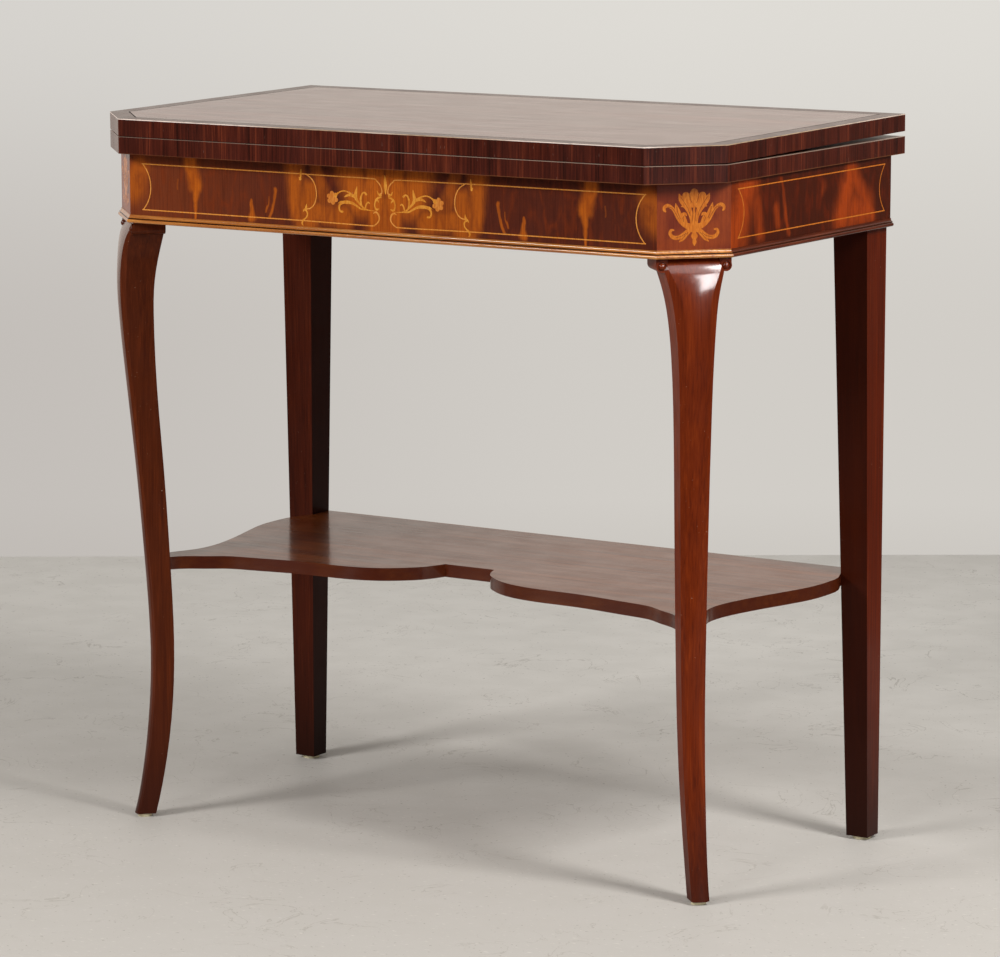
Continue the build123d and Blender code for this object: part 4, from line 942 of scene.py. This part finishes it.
# Three soft lamps round the camera, and two cards for the bright patch on the right knee
table_middle = (0.0, 0.0, 0.5)
softbox("left_softbox", (-1.35, -2.75, 2.2), table_middle, width=0.9, height=0.8, power=66)
softbox("right_softbox", (1.9, -0.3, 1.95), table_middle, width=0.5, height=0.8, power=42)
softbox("front_softbox", (0.4, -4.6, 2.4), table_middle, width=1.0, height=1.0, power=26)
knee_place = (0.355, -0.17, 0.63)
softbox("card_beside", (2.12, -0.86, 1.26), knee_place, width=0.38, height=0.80, power=24, lights=False)
softbox("card_above", (1.55, -0.8, 2.1), knee_place, width=0.9, height=0.9, power=7, lights=False)

# World: a plain pale room, seen by the camera and in the polish, and a softer level for its light;
# its wall carries painted light towards the top and the right, and painted shade at its foot
room = bpy.data.worlds.new("pale_room")
bpy.context.scene.world = room
room.use_nodes = True
room.cycles.sampling_method = "NONE"
add_to_room = partial(add_node, room.node_tree)
direction = add_to_room("TexCoord", output="Generated")
height = add_to_room("SeparateXYZ", {0: direction}, "Z")
ahead = add_to_room("VectorMath", {0: direction, 1: view_flat}, "Value", operation="DOT_PRODUCT")
aside = add_to_room("VectorMath", {0: direction, 1: view_right}, "Value", operation="DOT_PRODUCT")
# Painted light: the wall lighter towards the top and the right
wall_height = add_to_room("MapRange", {
    "Value": height, "From Min": -0.135, "From Max": -0.05,
}, interpolation_type="SMOOTHSTEP")
wall_aside = add_to_room("MapRange", {
    "Value": aside, "From Min": -0.12, "From Max": 0.06,
}, interpolation_type="SMOOTHSTEP")
low_wall = add_to_room("Mix", {
    "Factor": wall_aside, "A": "#c3beb9", "B": "#d1cdc7",
}, "Result", data_type="RGBA")
high_wall = add_to_room("Mix", {
    "Factor": wall_aside, "A": "#d6d3ce", "B": "#dfdcd6",
}, "Result", data_type="RGBA")
wall_colour = add_to_room("Mix", {
    "Factor": wall_height, "A": low_wall, "B": high_wall,
}, "Result", data_type="RGBA")
# Painted shade: the wall darker at its foot by the floor
wall_foot_shade = add_to_room("MapRange", {
    "Value": height, "From Min": -0.168, "From Max": -0.184, "To Max": 0.25,
})
wall_colour = add_to_room("Mix", {
    "Factor": wall_foot_shade, "A": wall_colour, "B": "#b3ada6",
}, "Result", data_type="RGBA")
wall_share = add_to_room("MapRange", {
    "Value": ahead, "From Min": 0.5, "From Max": 0.8,
}, interpolation_type="SMOOTHSTEP")
mirrored_wall = add_to_room("Mix", {
    "Factor": 1.0, "A": wall_colour, "B": "#fff6f0",
}, "Result", data_type="RGBA", blend_type="MULTIPLY")
mirrored_room = add_to_room("Mix", {
    "Factor": wall_share, "A": "#2a2624", "B": mirrored_wall,
}, "Result", data_type="RGBA")
camera_ray = add_to_room("LightPath", output="Is Camera Ray")
glossy_ray = add_to_room("LightPath", output="Is Glossy Ray")
seen_colour = add_to_room("Mix", {
    "Factor": camera_ray, "A": mirrored_room, "B": wall_colour,
}, "Result", data_type="RGBA")
seen = add_to_room("Math", {0: camera_ray, 1: glossy_ray}, operation="MAXIMUM")
seen_room = add_to_room("Background", {"Color": seen_colour, "Strength": 1.0})
room_light = add_to_room("Background", {"Color": "#f4f2ee", "Strength": 0.36})
mixed_room = add_to_room("MixShader", {0: seen, 1: room_light, 2: seen_room})
room.node_tree.links.new(mixed_room, room.node_tree.nodes["World Output"].inputs["Surface"])

camera_data = bpy.data.cameras.new("photo_camera")
camera_data.lens = camera_lens
camera_data.sensor_width = 36.0
camera_data.shift_x = camera_shift_x
camera_data.shift_y = camera_shift_y
camera = bpy.data.objects.new("photo_camera", camera_data)
bpy.context.collection.objects.link(camera)
forward = view_flat * math.cos(camera_pitch) - Vector((0, 0, math.sin(camera_pitch)))
upward = view_right.cross(forward)
camera_right = view_right * math.cos(camera_roll) + upward * math.sin(camera_roll)
camera_up = upward * math.cos(camera_roll) - view_right * math.sin(camera_roll)
camera.matrix_world = Matrix.Translation(camera_place) @ Matrix(
    (camera_right, camera_up, -forward)).transposed().to_4x4()
bpy.context.scene.camera = camera
bpy.context.scene.view_settings.view_transform = "Standard"
